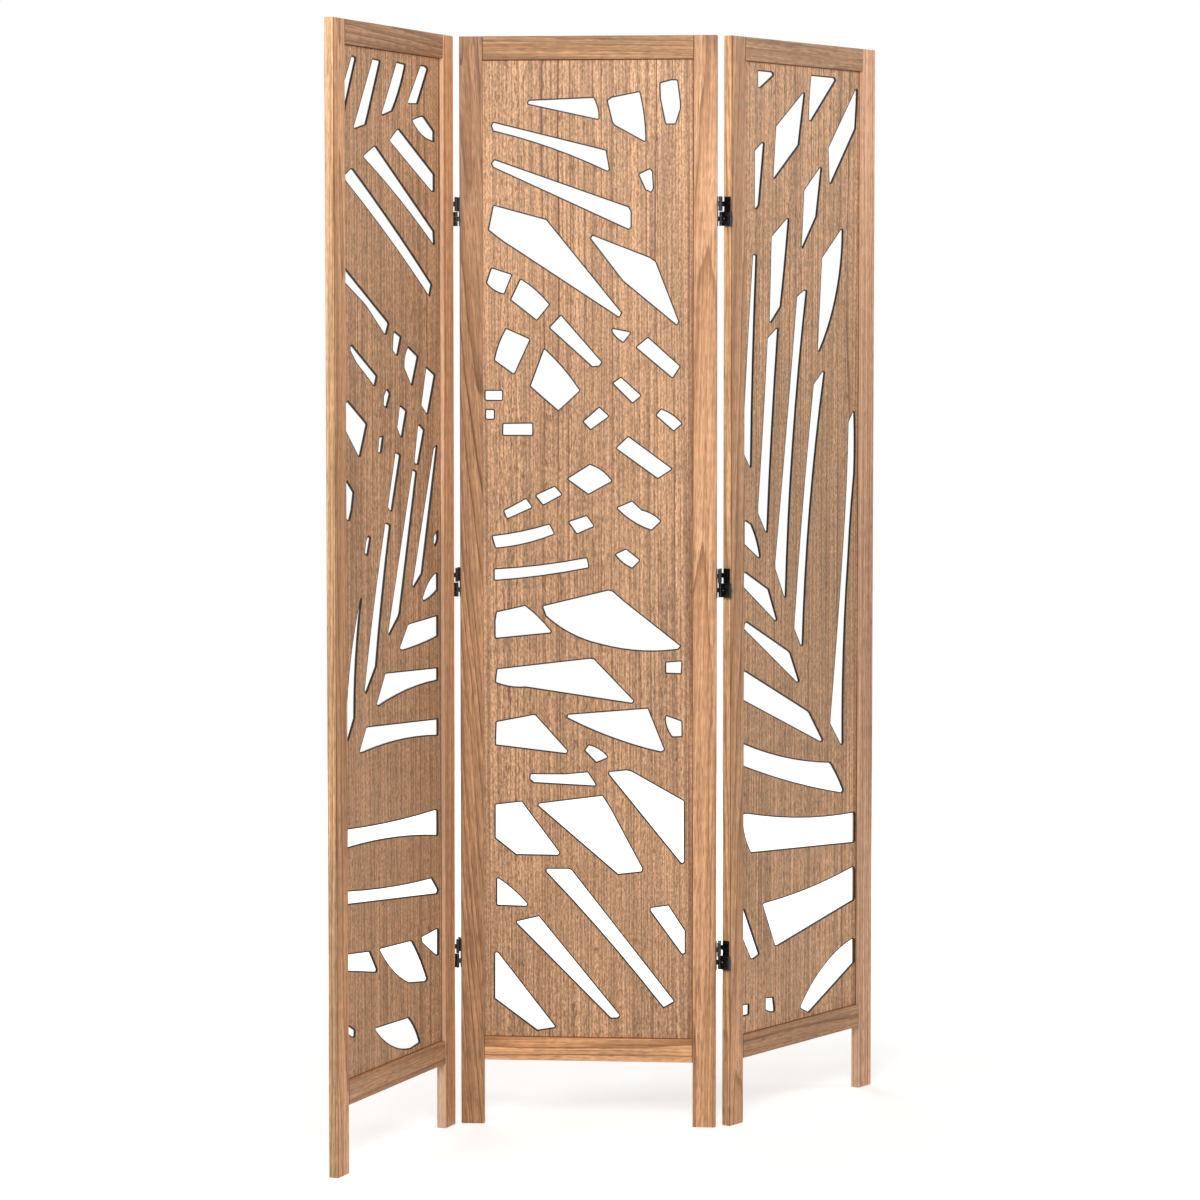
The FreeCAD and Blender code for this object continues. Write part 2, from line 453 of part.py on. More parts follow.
def make_rail(name, height):
    """Rail with its left end at X 0 and its outer edge at Z 0; its other edge is grooved."""
    body = make_body(name)
    outline = make_sketch(body, "outline", "XY_Plane", ("0", "0", "0"))
    add_rectangle(outline, SIGHT_WIDTH, "Sizes.frame_thickness")
    add_feature(outline, "Pad", height)
    groove = make_sketch(body, "groove", "XY_Plane", ("-Sizes.cut_overrun", GROOVE_FRONT, height))
    add_rectangle(groove, f"{SIGHT_WIDTH} + 2 * Sizes.cut_overrun", GROOVE_WIDTH)
    add_feature(groove, "Pocket", "Sizes.groove_depth")
    heights = rail_dowel_heights(height)
    drill(body, "left_holes", "0", heights, DOWEL_HOLE_DIAMETER, DOWEL_HOLE_DEPTH, reverse=True)
    drill(body, "right_holes", SIGHT_WIDTH, heights, DOWEL_HOLE_DIAMETER, DOWEL_HOLE_DEPTH)
    return body


def opening_sides(opening_shares, middle_rise_share):
    """Straight and bowed sides of an opening, from corner to corner."""
    sight = point(SIGHT_WIDTH, SIGHT_HEIGHT)
    sides = []
    path = []
    for across_share, up_share, *bow in opening_shares + opening_shares[:1]:
        rise_share = middle_rise_share * 4 * up_share * (1 - up_share)
        path.append(Vector(across_share * sight.x, (up_share + rise_share) * sight.y))
        if len(path) > 1 and not bow:
            sides.append(Part.LineSegment(*path) if len(path) == 2 else Part.Arc(*path))
            path = path[-1:]
    return sides


def corner_turns(edges):
    """Angle by which the outline turns where each edge meets the next."""
    turns = []
    for before, after in zip(edges, edges[1:] + edges[:1]):
        start = before.tangentAt(before.LastParameter)
        turns.append(start.getAngle(after.tangentAt(after.FirstParameter)))
    return turns


def corner_trims(edges, turns):
    """Length that each rounded corner takes from the edges on both sides of it."""
    trims = []
    for before, after, turn in zip(edges, edges[1:] + edges[:1], turns):
        room = CORNER_SHARE * min(before.Length, after.Length)
        trim = min(value("Sizes.cut_corner_radius") * math.tan(turn / 2), room)
        trims.append(trim if math.degrees(turn) > value("Sizes.least_rounded_turn") else 0)
    return trims


def shortened(side, edge, start_trim, end_trim):
    """A side of an opening without the lengths that its corners take."""
    end = edge.Length - end_trim
    lengths = (start_trim, (start_trim + end) / 2, end)
    start, middle, end = [edge.valueAt(edge.getParameterByLength(length)) for length in lengths]
    if isinstance(side, Part.LineSegment):
        return Part.LineSegment(start, end)
    return Part.Arc(start, middle, end)


def rounded_corner(start, end, corner, turn):
    """Arc from one shortened side to the next, tangent to both."""
    middle = (start + end) / 2
    rise = start.distanceToPoint(middle) * math.tan(turn / 4)
    return Part.Arc(start, middle + (corner - middle).normalize() * rise, end)


def opening_outline(opening_shares, middle_rise_share):
    """Closed outline of an opening: its sides and the arcs that round its corners."""
    sides = opening_sides(opening_shares, middle_rise_share)
    edges = [side.toShape() for side in sides]
    turns = corner_turns(edges)
    trims = corner_trims(edges, turns)
    outline = [shortened(side, edge, trims[index - 1], trims[index])
               for index, (side, edge) in enumerate(zip(sides, edges))]
    arcs = []
    for before, after, edge, turn, trim in zip(outline, outline[1:] + outline[:1], edges, turns, trims):
        if trim:
            corner = edge.valueAt(edge.LastParameter)
            arcs.append(rounded_corner(before.EndPoint, after.StartPoint, corner, turn))
    return outline + arcs


def make_fret(name, openings_shares, middle_rise_share=0):
    """Carved sheet, placed as in its panel."""
    body = make_body(name)
    middle = f"-{HALF_THICKNESS}"
    low_corner = (f"Sizes.stile_width - {FRET_REACH}", f"{SIGHT_BOTTOM} - {FRET_REACH}", middle)
    outline = make_sketch(body, "outline", "XZ_Plane", low_corner)
    add_rectangle(outline, f"{SIGHT_WIDTH} + 2 * {FRET_REACH}", f"{SIGHT_HEIGHT} + 2 * {FRET_REACH}")
    add_feature(outline, "Pad", "Sizes.fret_thickness", side="Symmetric")
    sight_corner = ("Sizes.stile_width", SIGHT_BOTTOM, middle)
    openings = make_sketch(body, "openings", "XZ_Plane", sight_corner)
    for opening_shares in openings_shares:
        openings.addGeometry(opening_outline(opening_shares, middle_rise_share))
    add_feature(openings, "Pocket", "Sizes.fret_thickness + 2 * Sizes.cut_overrun", side="Symmetric")
    return body


# Round and square pieces of metal and dowels


def box(name, size, corner):
    """Box between expressions: its size along X, Y and Z, and its low corner."""
    piece = doc.addObject("Part::Box", name)
    bind(piece, Length=size[0], Width=size[1], Height=size[2])
    bind_place(piece, corner)
    return piece


def cylinder(name, radius, height, middle, turn=Rotation()):
    """Upright cylinder, or a turned one, from the middle of its first end."""
    piece = doc.addObject("Part::Cylinder", name)
    piece.Placement.Rotation = turn
    bind(piece, Radius=radius, Height=height)
    bind_place(piece, middle)
    return piece


def cone(name, first_radius, second_radius, height, middle):
    """Cone along X, from the middle of its first end."""
    piece = doc.addObject("Part::Cone", name)
    piece.Placement.Rotation = ALONG_X
    bind(piece, Radius1=first_radius, Radius2=second_radius, Height=height)
    bind_place(piece, middle)
    return piece


def fuse(name, pieces):
    """One solid of pieces that overlap."""
    union = doc.addObject("Part::MultiFuse", name)
    union.Shapes = pieces
    union.Refine = True
    return union


def cut(name, stock, tools):
    """What is left of the stock where the tools have cut it."""
    remainder = doc.addObject("Part::Cut", name)
    remainder.Base = stock
    remainder.Tool = fuse(f"{name}_tools", tools)
    return remainder


def group(name, pieces):
    """Several solids as one sub-part."""
    compound = doc.addObject("Part::Compound", name)
    compound.Label = name
    compound.Links = pieces
    return compound


def make_dowels(name):
    """Dowels of a panel, half in a rail and half in a stile."""
    joints = {"left": "Sizes.stile_width", "right": "(Sizes.panel_width - Sizes.stile_width)"}
    dowels = []
    for side, joint in joints.items():
        for number, height in enumerate(panel_dowel_heights(), start=1):
            start = (f"{joint} - Sizes.dowel_length / 2", HALF_THICKNESS, height)
            dowels.append(cylinder(f"{name}_{side}_{number}", "Sizes.dowel_diameter / 2",
                                   "Sizes.dowel_length", start, ALONG_X))
    return group(name, dowels)


# Hinges


def make_leaf(name):
    """Leaf on the edge of the stile at low X, with a knuckle on the front pin of the upper strap
    and another on the back pin of the lower strap."""
    stile_edge = "-Sizes.panel_gap / 2"
    half_plate = "Sizes.plate_thickness / 2"
    reach = f"({PIN_DISTANCE} + {half_plate})"
    pieces = [box(f"{name}_plate", ("Sizes.plate_thickness", LEAF_WIDTH, "Sizes.hinge_height"),
                  (stile_edge, f"-{LEAF_WIDTH} / 2", "-Sizes.hinge_height / 2"))]
    tools = []
    ends = {"front": (f"-{PIN_DISTANCE}", f"-{reach}", STRAP_MIDDLE),
            "back": (PIN_DISTANCE, "0", f"-{STRAP_MIDDLE}")}
    for end, (pin, arm_start, middle) in ends.items():
        bottom = f"{middle} - {KNUCKLE_HEIGHT} / 2"
        pieces.append(box(f"{name}_{end}_arm", ("Sizes.plate_thickness", reach, KNUCKLE_HEIGHT),
                          (stile_edge, arm_start, bottom)))
        pieces.append(box(f"{name}_{end}_ear",
                          ("Sizes.panel_gap / 2", "Sizes.plate_thickness", KNUCKLE_HEIGHT),
                          (stile_edge, f"{pin} - {half_plate}", bottom)))
        pieces.append(cylinder(f"{name}_{end}_knuckle", "Sizes.knuckle_diameter / 2", KNUCKLE_HEIGHT,
                               ("0", pin, bottom)))
        tools.append(cylinder(f"{name}_{end}_pin_hole", PIN_HOLE_RADIUS, STRAP_HEIGHT,
                              ("0", pin, f"{middle} - {STRAP_HEIGHT} / 2")))
        tools.append(cone(f"{name}_{end}_screw_hole", SCREW_HOLE_RADIUS, SCREW_HEAD_HOLE_RADIUS,
                          "Sizes.plate_thickness", (stile_edge, "0", middle)))
    return cut(name, fuse(f"{name}_stock", pieces), tools)


def make_strap(name, sign):
    """Strap from the front pin to the back pin: the upper one for sign +, the lower one for -.

    It is cut away round the leaf's knuckle on each pin, and drilled for the screwdriver.
    """
    middle = f"({sign}{STRAP_MIDDLE})"
    bottom = f"{middle} - {STRAP_HEIGHT} / 2"
    notch_radius = "(Sizes.knuckle_diameter / 2 + Sizes.notch_clearance)"
    notch_size = (f"2 * {notch_radius}", f"2 * {notch_radius}", NOTCH_HEIGHT)
    notch_bottom = f"{middle} - {NOTCH_HEIGHT} / 2"
    pieces = [box(f"{name}_plate", ("Sizes.plate_thickness", f"2 * {PIN_DISTANCE}", STRAP_HEIGHT),
                  ("-Sizes.plate_thickness / 2", f"-{PIN_DISTANCE}", bottom))]
    tools = [cylinder(f"{name}_screw_access", "Sizes.screw_access_diameter / 2",
                      "Sizes.plate_thickness + 2 * Sizes.cut_overrun",
                      ("-Sizes.plate_thickness / 2 - Sizes.cut_overrun", "0", middle), ALONG_X)]
    for end, pin in (("front", f"-{PIN_DISTANCE}"), ("back", PIN_DISTANCE)):
        pieces.append(cylinder(f"{name}_{end}_knuckle", "Sizes.knuckle_diameter / 2", STRAP_HEIGHT,
                               ("0", pin, bottom)))
        tools.append(box(f"{name}_{end}_notch", notch_size,
                         (f"-{notch_radius}", f"{pin} - {notch_radius}", notch_bottom)))
        tools.append(cylinder(f"{name}_{end}_pin_hole", PIN_HOLE_RADIUS,
                              f"{STRAP_HEIGHT} + 2 * Sizes.cut_overrun",
                              ("0", pin, f"{bottom} - Sizes.cut_overrun")))
    return cut(name, fuse(f"{name}_stock", pieces), tools)


def make_pins(name, edges, sign):
    """Pins of the upper straps for sign +, or of the lower straps for -, on a panel's edges."""
    pins = []
    for edge in edges:
        for height_name, height in HINGE_HEIGHTS.items():
            bottom = f"{height} {sign} {STRAP_MIDDLE} - {STRAP_HEIGHT} / 2"
            for end, end_sign in (("front", "-"), ("back", "+")):
                middle = (GAP_MIDDLE[edge], f"{HALF_THICKNESS} {end_sign} {PIN_DISTANCE}", bottom)
                pins.append(cylinder(f"{name}_{edge}_{height_name}_{end}", "Sizes.pin_diameter / 2",
                                     STRAP_HEIGHT, middle))
    return group(name, pins)


def make_screw():
    """Countersunk screw with a cross recess, its head's face at X 0 and its point at low X."""
    head = cone("screw_head", "Sizes.screw_diameter / 2", "Sizes.screw_head_diameter / 2",
                "Sizes.plate_thickness", ("-Sizes.plate_thickness", "0", "0"))
    shank = cylinder("screw_shank", "Sizes.screw_diameter / 2",
                     "Sizes.screw_length - Sizes.screw_point_length",
                     ("Sizes.screw_point_length - Sizes.screw_length", "0", "0"), ALONG_X)
    tip = cone("screw_tip", "0", "Sizes.screw_diameter / 2", "Sizes.screw_point_length",
               ("-Sizes.screw_length", "0", "0"))
    depth = "Sizes.recess_depth + Sizes.cut_overrun"
    slots = []
    for name, width, height in (("flat", "recess_length", "recess_width"),
                                ("upright", "recess_width", "recess_length")):
        slots.append(box(f"screw_{name}_slot", (depth, f"Sizes.{width}", f"Sizes.{height}"),
                         ("-Sizes.recess_depth", f"-Sizes.{width} / 2", f"-Sizes.{height} / 2")))
    return cut("screw", fuse("screw_stock", [head, shank, tip]), slots)


def make_screws(name, screw, edges):
    """Screws of the leaves on a panel's edges."""
    seat = "Sizes.plate_thickness - Sizes.panel_gap / 2"
    screws = []
    for edge in edges:
        for height_name, height in HINGE_HEIGHTS.items():
            for end, end_sign in (("lower", "-"), ("upper", "")):
                copy = doc.addObject("App::Link", f"{name}_{edge}_{height_name}_{end}")
                copy.LinkedObject = screw
                copy.Placement = edge_place(edge, height) * Placement(
                    point(seat, "0", f"{end_sign}{STRAP_MIDDLE}"), Rotation())
                screws.append(copy)
    return group(name, screws)


# Places


GAP_MIDDLE = {"left": "(-Sizes.panel_gap / 2)", "right": "(Sizes.panel_width + Sizes.panel_gap / 2)"}


def edge_place(edge, height):
    """Place of a hinge's frame on a panel's left or right edge, turned so that the panel lies on
    its low-X side."""
    turn = HALF_TURN if edge == "left" else Rotation()
    return Placement(point(GAP_MIDDLE[edge], HALF_THICKNESS, height), turn)


def fold_place(edge, pin_sign, angle):
    """Place of the panel that is folded about the middle panel's front or back pins."""
    other_edge = "right" if edge == "left" else "left"
    pin_depth = f"{HALF_THICKNESS} {pin_sign} {PIN_DISTANCE}"
    pin = Placement(point(GAP_MIDDLE[edge], pin_depth), Rotation(Vector(0, 0, 1), value(angle)))
    return pin * Placement(-point(GAP_MIDDLE[other_edge], pin_depth), Rotation())


def panel_places():
    """Places of the three panels, with the origin under the middle of their outer box."""
    places = {
        "left": fold_place("left", "-", "Sizes.left_fold_angle"),
        "middle": Placement(),
        "right": fold_place("right", "+", "Sizes.right_fold_angle"),
    }
    outer_box = FreeCAD.BoundBox()
    for place in places.values():
        for across in ("0", "Sizes.panel_width"):
            for deep in ("0", "Sizes.frame_thickness"):
                outer_box.add(place.multVec(point(across, deep)))
    shift = Placement(-outer_box.Center, Rotation())
    return {name: shift * place for name, place in places.items()}


# Assembly

nodes = []


def add_node(node, place):
    """Put a sub-part in its place and list it for writing."""
    node.Placement = place
    nodes.append(node)


def add_panel(panel, place, fret, hinged_edges, strap_sign, screw):
    """The sub-parts that one panel carries on its own."""
    name = f"{panel}_panel"
    add_node(make_stile(f"{name}_left_stile", "left" in hinged_edges), place)
    right_stile_place = Placement(point("Sizes.panel_width", "Sizes.frame_thickness"), HALF_TURN)
    add_node(make_stile(f"{name}_right_stile", "right" in hinged_edges), place * right_stile_place)
    bottom_rail_place = Placement(point("Sizes.stile_width", "0", "Sizes.leg_height"), Rotation())
    add_node(make_rail(f"{name}_bottom_rail", "Sizes.bottom_rail_height"), place * bottom_rail_place)
    top_rail_place = Placement(point("Sizes.stile_width", "Sizes.frame_thickness", "Sizes.panel_height"),
                               UPSIDE_DOWN)
    add_node(make_rail(f"{name}_top_rail", "Sizes.top_rail_height"), place * top_rail_place)
    add_node(fret, place)
    add_node(make_dowels(f"{name}_dowels"), place)
    add_node(make_screws(f"{name}_hinge_screws", screw, hinged_edges), place)
    add_node(make_pins(f"{name}_hinge_pins", hinged_edges, strap_sign), place)


def add_hinges(side, side_place, middle_place):
    """The three hinges between the middle panel and a side panel.

    The upper straps stay with the middle panel and the lower straps with the side panel.
    """
    middle_edge = side
    side_edge = "right" if side == "left" else "left"
    for height_name, height in HINGE_HEIGHTS.items():
        name = f"{side}_hinge_{height_name}"
        on_side = side_place * edge_place(side_edge, height)
        on_middle = middle_place * edge_place(middle_edge, height)
        add_node(make_leaf(f"{name}_side_leaf"), on_side)
        add_node(make_leaf(f"{name}_middle_leaf"), on_middle)
        add_node(make_strap(f"{name}_upper_strap", "+"), on_middle)
        add_node(make_strap(f"{name}_lower_strap", "-"), on_side)


places = panel_places()
screw = make_screw()
left_fret = make_fret("left_panel_fret", LEFT_OPENINGS_SHARES, LEFT_MIDDLE_RISE_SHARE)
middle_fret = make_fret("middle_panel_fret", MIDDLE_OPENINGS_SHARES)
right_fret = make_fret("right_panel_fret", RIGHT_OPENINGS_SHARES, RIGHT_MIDDLE_RISE_SHARE)
add_panel("left", places["left"], left_fret, ["right"], "-", screw)
add_panel("middle", places["middle"], middle_fret, ["left", "right"], "+", screw)
add_panel("right", places["right"], right_fret, ["left"], "-", screw)
add_hinges("left", places["left"], places["middle"])
add_hinges("right", places["right"], places["middle"])
doc.recompute()

for piece in doc.Objects:
    if "Invalid" in piece.State or "Error" in piece.State:
        raise RuntimeError(f"{piece.Name} failed: {piece.State}")
for node in nodes:
    if node.Shape.isNull() or not node.Shape.isValid():
        raise RuntimeError(f"{node.Label} has no valid shape")

os.makedirs("parts", exist_ok=True)
for node in nodes:
    node.Shape.exportStep(f"parts/{node.Label}.step")
for side, pin_sign in (("left", "-"), ("right", "+")):
    pin = point(GAP_MIDDLE[side], f"{HALF_THICKNESS} {pin_sign} {PIN_DISTANCE}")
    axis = places["middle"].multVec(pin)
    print(f"{side} fold axis at X {axis.x:.3f}, Y {axis.y:.3f}")
print(f"{len(nodes)} sub-parts")
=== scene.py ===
# Carved jali screen: the finished look of its boards, carved sheets, hinges and screws.
#
# The file is laid out as an add-on for Blender and runs as a script. Each operator makes one
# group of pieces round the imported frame, in metres and in the frame's own place.
import json
import math
from collections import namedtuple

import bmesh
import bpy
from bpy.props import FloatProperty, FloatVectorProperty, PointerProperty
from mathutils import Euler, Matrix, Vector


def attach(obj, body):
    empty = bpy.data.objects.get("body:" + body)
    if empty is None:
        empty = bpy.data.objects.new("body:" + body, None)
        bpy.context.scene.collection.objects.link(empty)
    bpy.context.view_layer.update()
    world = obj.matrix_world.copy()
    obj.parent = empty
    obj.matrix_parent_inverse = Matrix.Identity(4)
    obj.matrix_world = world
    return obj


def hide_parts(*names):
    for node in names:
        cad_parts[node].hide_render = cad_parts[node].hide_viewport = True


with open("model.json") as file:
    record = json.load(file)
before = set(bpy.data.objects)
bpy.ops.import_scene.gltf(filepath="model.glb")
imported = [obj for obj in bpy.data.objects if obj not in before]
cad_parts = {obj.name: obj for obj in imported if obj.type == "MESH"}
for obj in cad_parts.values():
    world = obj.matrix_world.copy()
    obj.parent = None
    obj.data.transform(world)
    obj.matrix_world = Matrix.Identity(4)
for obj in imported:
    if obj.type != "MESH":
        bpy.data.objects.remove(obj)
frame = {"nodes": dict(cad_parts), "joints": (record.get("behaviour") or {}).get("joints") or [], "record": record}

bl_info = {
    "name": "Carved Jali Screen",
    "version": (1, 0, 0),
    "blender": (4, 5, 0),
    "location": "View3D > Sidebar > Jali",
    "description": "Makes the finished look of a three-panel carved screen round its frame",
    "category": "Object",
}

MM = 0.001
PANELS = ("left_panel", "middle_panel", "right_panel")
SIDES = ("left", "right")
HINGE_PARTS = ("side_leaf", "middle_leaf", "upper_strap", "lower_strap")
HINGE_HEIGHTS = ("low", "middle", "top")

# Vertices closer than this are one, and faces that turn by less than this are one flat face
MERGE_DISTANCE = 0.002 * MM
FLAT_ANGLE = math.radians(0.2)
# How near a vertex lies to a board's outer plane when it is on it, and when it is on its arris
ON_PLANE = 0.01 * MM
ON_ARRIS = 1.0 * MM
# Further from a joint than any line that is drawn beside it, in metres
FAR = 1
# Segments of a rounded arris and of a rounded edge of steel, and how sharp an edge has to be for it
ARRIS_SEGMENTS = 3
STEEL_SEGMENTS = 2
SHARP_ANGLE = math.radians(50)
# How finely screws and pins are round, the turn from one screw to the next, and a screw's crown
# and tip as shares of the radius of its head and its shank
ROUND_VERTICES = 32
SCREW_SPIN = math.radians(37)
CROWN_SHARE = 0.62
TIP_SHARE = 0.05
# Sizes of a screw, each named as its setting and as its input of the geometry tree
SCREW_SIZES = ("Head diameter", "Head height", "Head rise", "Shank diameter", "Point length",
               "Recess length", "Recess width", "Recess depth")

# Attributes that carry a place or a finish from the mesh to the material: the place in the log;
# how light a board is at its low end, middle and high end, partly painted light; its redness, the
# lightness of its outer edge, partly painted light, and its figure; the gaps to the joints below and
# above it and the share along it; the gaps to the joints at its sides and how far a point lies on the
# outer or inner edge; how burnt a cut is
LOG_PLACE = "log_place"
SHADES = "shades"
CHARACTER = "character"
ENDS = "ends"
SIDES_OF_BOARD = "sides"
SCORCH = "scorch"

# How the grain is drawn, with cells in millimetres along, across and through the wood: slow bends
# of the rings, where in a year its dark line starts, how far late wood and line darken, the
# strength of streaks, speckles and pores, and whether the wood is scorched along its cuts
Grain = namedtuple("Grain", "bend_cell bend line_start lead line streak_cell streak speckle_cell speckle"
                            " pore_cell pores scorched")
BOARD_GRAIN = Grain(bend_cell=(420, 46, 46), bend=12, line_start=0.78, lead=0.50, line=0.80,
                    streak_cell=(240, 2.8, 2.8), streak=0.24, speckle_cell=(14, 2.4, 2.4), speckle=0.12,
                    pore_cell=(24, 2.4, 2.4), pores=0.45, scorched=False)
VENEER_GRAIN = Grain(bend_cell=(900, 90, 90), bend=24, line_start=0.86, lead=0.25, line=0.95,
                     streak_cell=(420, 2.4, 2.4), streak=0.34, speckle_cell=(5, 2.4, 2.4), speckle=0.26,
                     pore_cell=(13, 2.2, 2.2), pores=0.66, scorched=True)

# How each board was cut: where the heart of its log lies across and behind the board's middle, in
# millimetres, how many millimetres its grain runs off across for each metre along, how light it is
# at its low (or left) end, middle and high end, how far it leans from golden, 0, to reddish, 1,
# and at its low and high end how light its outer edge is and how strong its figure is. A board's
# lightness and its outer edge's are partly the wood's own tone and partly painted light: paler tops
# stand in for sheen, boards that get less light are made lighter, and the side panels' outer edges
# are made lighter towards the top, where more light falls
Cut = namedtuple("Cut", "across deep slope shades red edge figure")
CUTS = {
    "left_panel_left_stile": Cut(9, 46, 6, (1.42, 1.06, 1.47), 0.50, (0.97, 1.34), (0.8, 0.8)),
    "left_panel_right_stile": Cut(60, 12, -5, (1.22, 1.42, 1.78), 0.60, (1.1, 1.1), (0.8, 0.8)),
    "left_panel_top_rail": Cut(30, 40, 20, (0.87, 0.87, 0.87), 0.60, (1, 1), (0.5, 0.5)),
    "left_panel_bottom_rail": Cut(-26, 60, -14, (1.02, 1.02, 1.02), 0.45, (1, 1), (0.7, 0.7)),
    "left_panel_fret": Cut(150, 60, 4, (1.01, 1.03, 1.16), 0.66, (1, 1), (0.5, 0.9)),
    "middle_panel_left_stile": Cut(34, 30, 60, (0.89, 0.86, 0.80), 0.42, (1.1, 1.1), (1.0, 1.0)),
    "middle_panel_right_stile": Cut(-6, 42, -24, (1.18, 1.27, 1.20), 0.45, (1.1, 1.1), (0.8, 0.8)),
    "middle_panel_top_rail": Cut(50, 34, 12, (0.85, 0.85, 0.85), 0.05, (1, 1), (0.4, 0.4)),
    "middle_panel_bottom_rail": Cut(18, 48, -10, (1.40, 1.40, 1.40), 0.28, (1, 1), (1.0, 1.0)),
    "middle_panel_fret": Cut(-120, 50, 5, (1.04, 1.04, 1.16), 0.60, (1, 1), (0.2, 1.2)),
    "right_panel_left_stile": Cut(24, 52, -22, (1.35, 1.12, 1.20), 0.54, (1.10, 1.68), (0.8, 0.8)),
    "right_panel_right_stile": Cut(-40, 22, 6, (1.56, 1.28, 1.98), 0.92, (1.2, 1.2), (0.7, 0.7)),
    "right_panel_top_rail": Cut(-20, 44, 18, (1.10, 1.10, 1.10), 0.55, (1, 1), (0.5, 0.5)),
    "right_panel_bottom_rail": Cut(28, 50, 10, (0.96, 0.96, 0.96), 0.45, (1, 1), (0.8, 0.8)),
    "right_panel_fret": Cut(170, 80, -4, (1.22, 1.07, 1.36), 0.62, (1, 1), (0.6, 0.8)),
}
# Step from board to board along the log, in metres, so that no two show the same wood
LOG_STEP = 1.37
# How far uneven growth shifts a ring, in years, and the share of a dark line's width that is darkest
UNEVEN_YEARS = 2.2
LINE_CORE = 0.3
# What a golden board, a reddish board and a planed outer edge make of the wood's colour; the
# edge's paler tint is partly painted sheen
GOLDEN_LEAN = (1.05, 0.95, 0.76)
REDDISH_LEAN = (1.0, 0.98, 1.08)
EDGE_LEAN = (1.04, 1.07, 1.00)
# Slow drift of the stain along a board and ripple across it: their cells in millimetres and how
# far they go
DRIFT_CELL = (300, 34, 34)
DRIFT = 0.08
RIPPLE_CELL = (16, 70, 70)
RIPPLE = 0.04
# Cells of the enamel's orange peel and dust, the steel's polish, and the beech's grain and flecks
PEEL_CELL = 1.2 * MM
DUST_CELL = 5 * MM
POLISH_CELL = 0.6 * MM
BEECH_CELL = 2 * MM
FLECK_CELL = 1.2 * MM
# How many times lighter dust makes the enamel, what it adds, and how many times lighter wear makes
# the steel
DUST_FACTOR = 2.2
DUST_ADDED = 0.004
WEAR_FACTOR = 1.7
# How much of the beech's colour is left in its grain and in its flecks
GRAIN_SHARE = 0.75
FLECK_SHARE = 0.4

# Large soft lamps in metres, each with the setting that holds its power: in front, at the left, at
# the right and behind
Lamp = namedtuple("Lamp", "power size place aim")
LAMPS = {
    "key lamp": Lamp("key_power", (1.4, 1.2), (0.1, -3.1, 2.35), (0.0, 0.0, 1.0)),
    "left lamp": Lamp("left_power", (1.0, 1.6), (-2.5, -2.3, 2.4), (0.0, 0.0, 1.1)),
    "right lamp": Lamp("right_power", (1.0, 1.4), (3.0, 0.9, 2.3), (0.2, 0.1, 1.1)),
    "back lamp": Lamp("back_power", (2.0, 1.6), (-1.2, 3.2, 2.3), (0.0, 0.0, 0.9)),
}

# The camera's place in metres, its tilt below level and its turn to the left, its shift as a share
# of the picture's width, the width of its sensor in millimetres and how far it sees in metres
CAMERA_PLACE = (0.4373, -5.6685, 1.2656)
CAMERA_TILT = math.radians(3.46)
CAMERA_TURN = math.radians(4.657)
CAMERA_SHIFT = -0.05
SENSOR_WIDTH = 36
CAMERA_REACH = 40


def metres(sizes):
    """Sizes in millimetres as metres."""
    return tuple(size * MM for size in sizes)


def linear(hex_colour):
    """Linear colour of an sRGB hex value."""
    shares = [int(hex_colour[place:place + 2], 16) / 255 for place in (1, 3, 5)]
    return [share / 12.92 if share <= 0.04045 else ((share + 0.055) / 1.055) ** 2.4 for share in shares]


def length(name, description, millimetres):
    """Property for a length, given in millimetres."""
    return FloatProperty(name=name, description=description, default=millimetres * MM, min=0,
                         precision=5, subtype="DISTANCE", unit="LENGTH")


def colour(name, description, hex_colour):
    """Property for a colour, given as an sRGB hex value."""
    return FloatVectorProperty(name=name, description=description, default=linear(hex_colour),
                               size=3, min=0, max=1, subtype="COLOR")


def share(name, description, default):
    """Property for a share from 0 to 1."""
    return FloatProperty(name=name, description=description, default=default, min=0, max=1,
                         subtype="FACTOR")


def power(name, description, watts):
    """Property for a lamp's power, given in watts."""
    return FloatProperty(name=name, description=description, default=watts, min=0, unit="POWER")


class TimberSettings(bpy.types.PropertyGroup):
    """Boards of the frames"""

    arris: length("Arris rounding", "Radius of the sanded arrises of a board", 0.9)
    joint: length("Joint line", "Width of the dark line where a rail meets a stile", 1.6)
    ring_width: length("Ring width", "Thickness of one year's growth", 7.0)
    early_wood: colour("Early wood", "Stained colour of the soft early wood", "#CEA27C")
    late_wood: colour("Late wood", "Stained colour of the hard late wood", "#A3724A")
    pore: colour("Pores", "Colour of the stain that gathers in the pores", "#663A1E")
    # Painted highlight: the pale colour given to a stile's inner arris and inner face
    painted_highlight: colour("Rubbed arris", "Colour of the wood where the stain is rubbed off", "#FAE0C4")
    roughness: share("Roughness", "Roughness of the satin lacquer", 0.5)


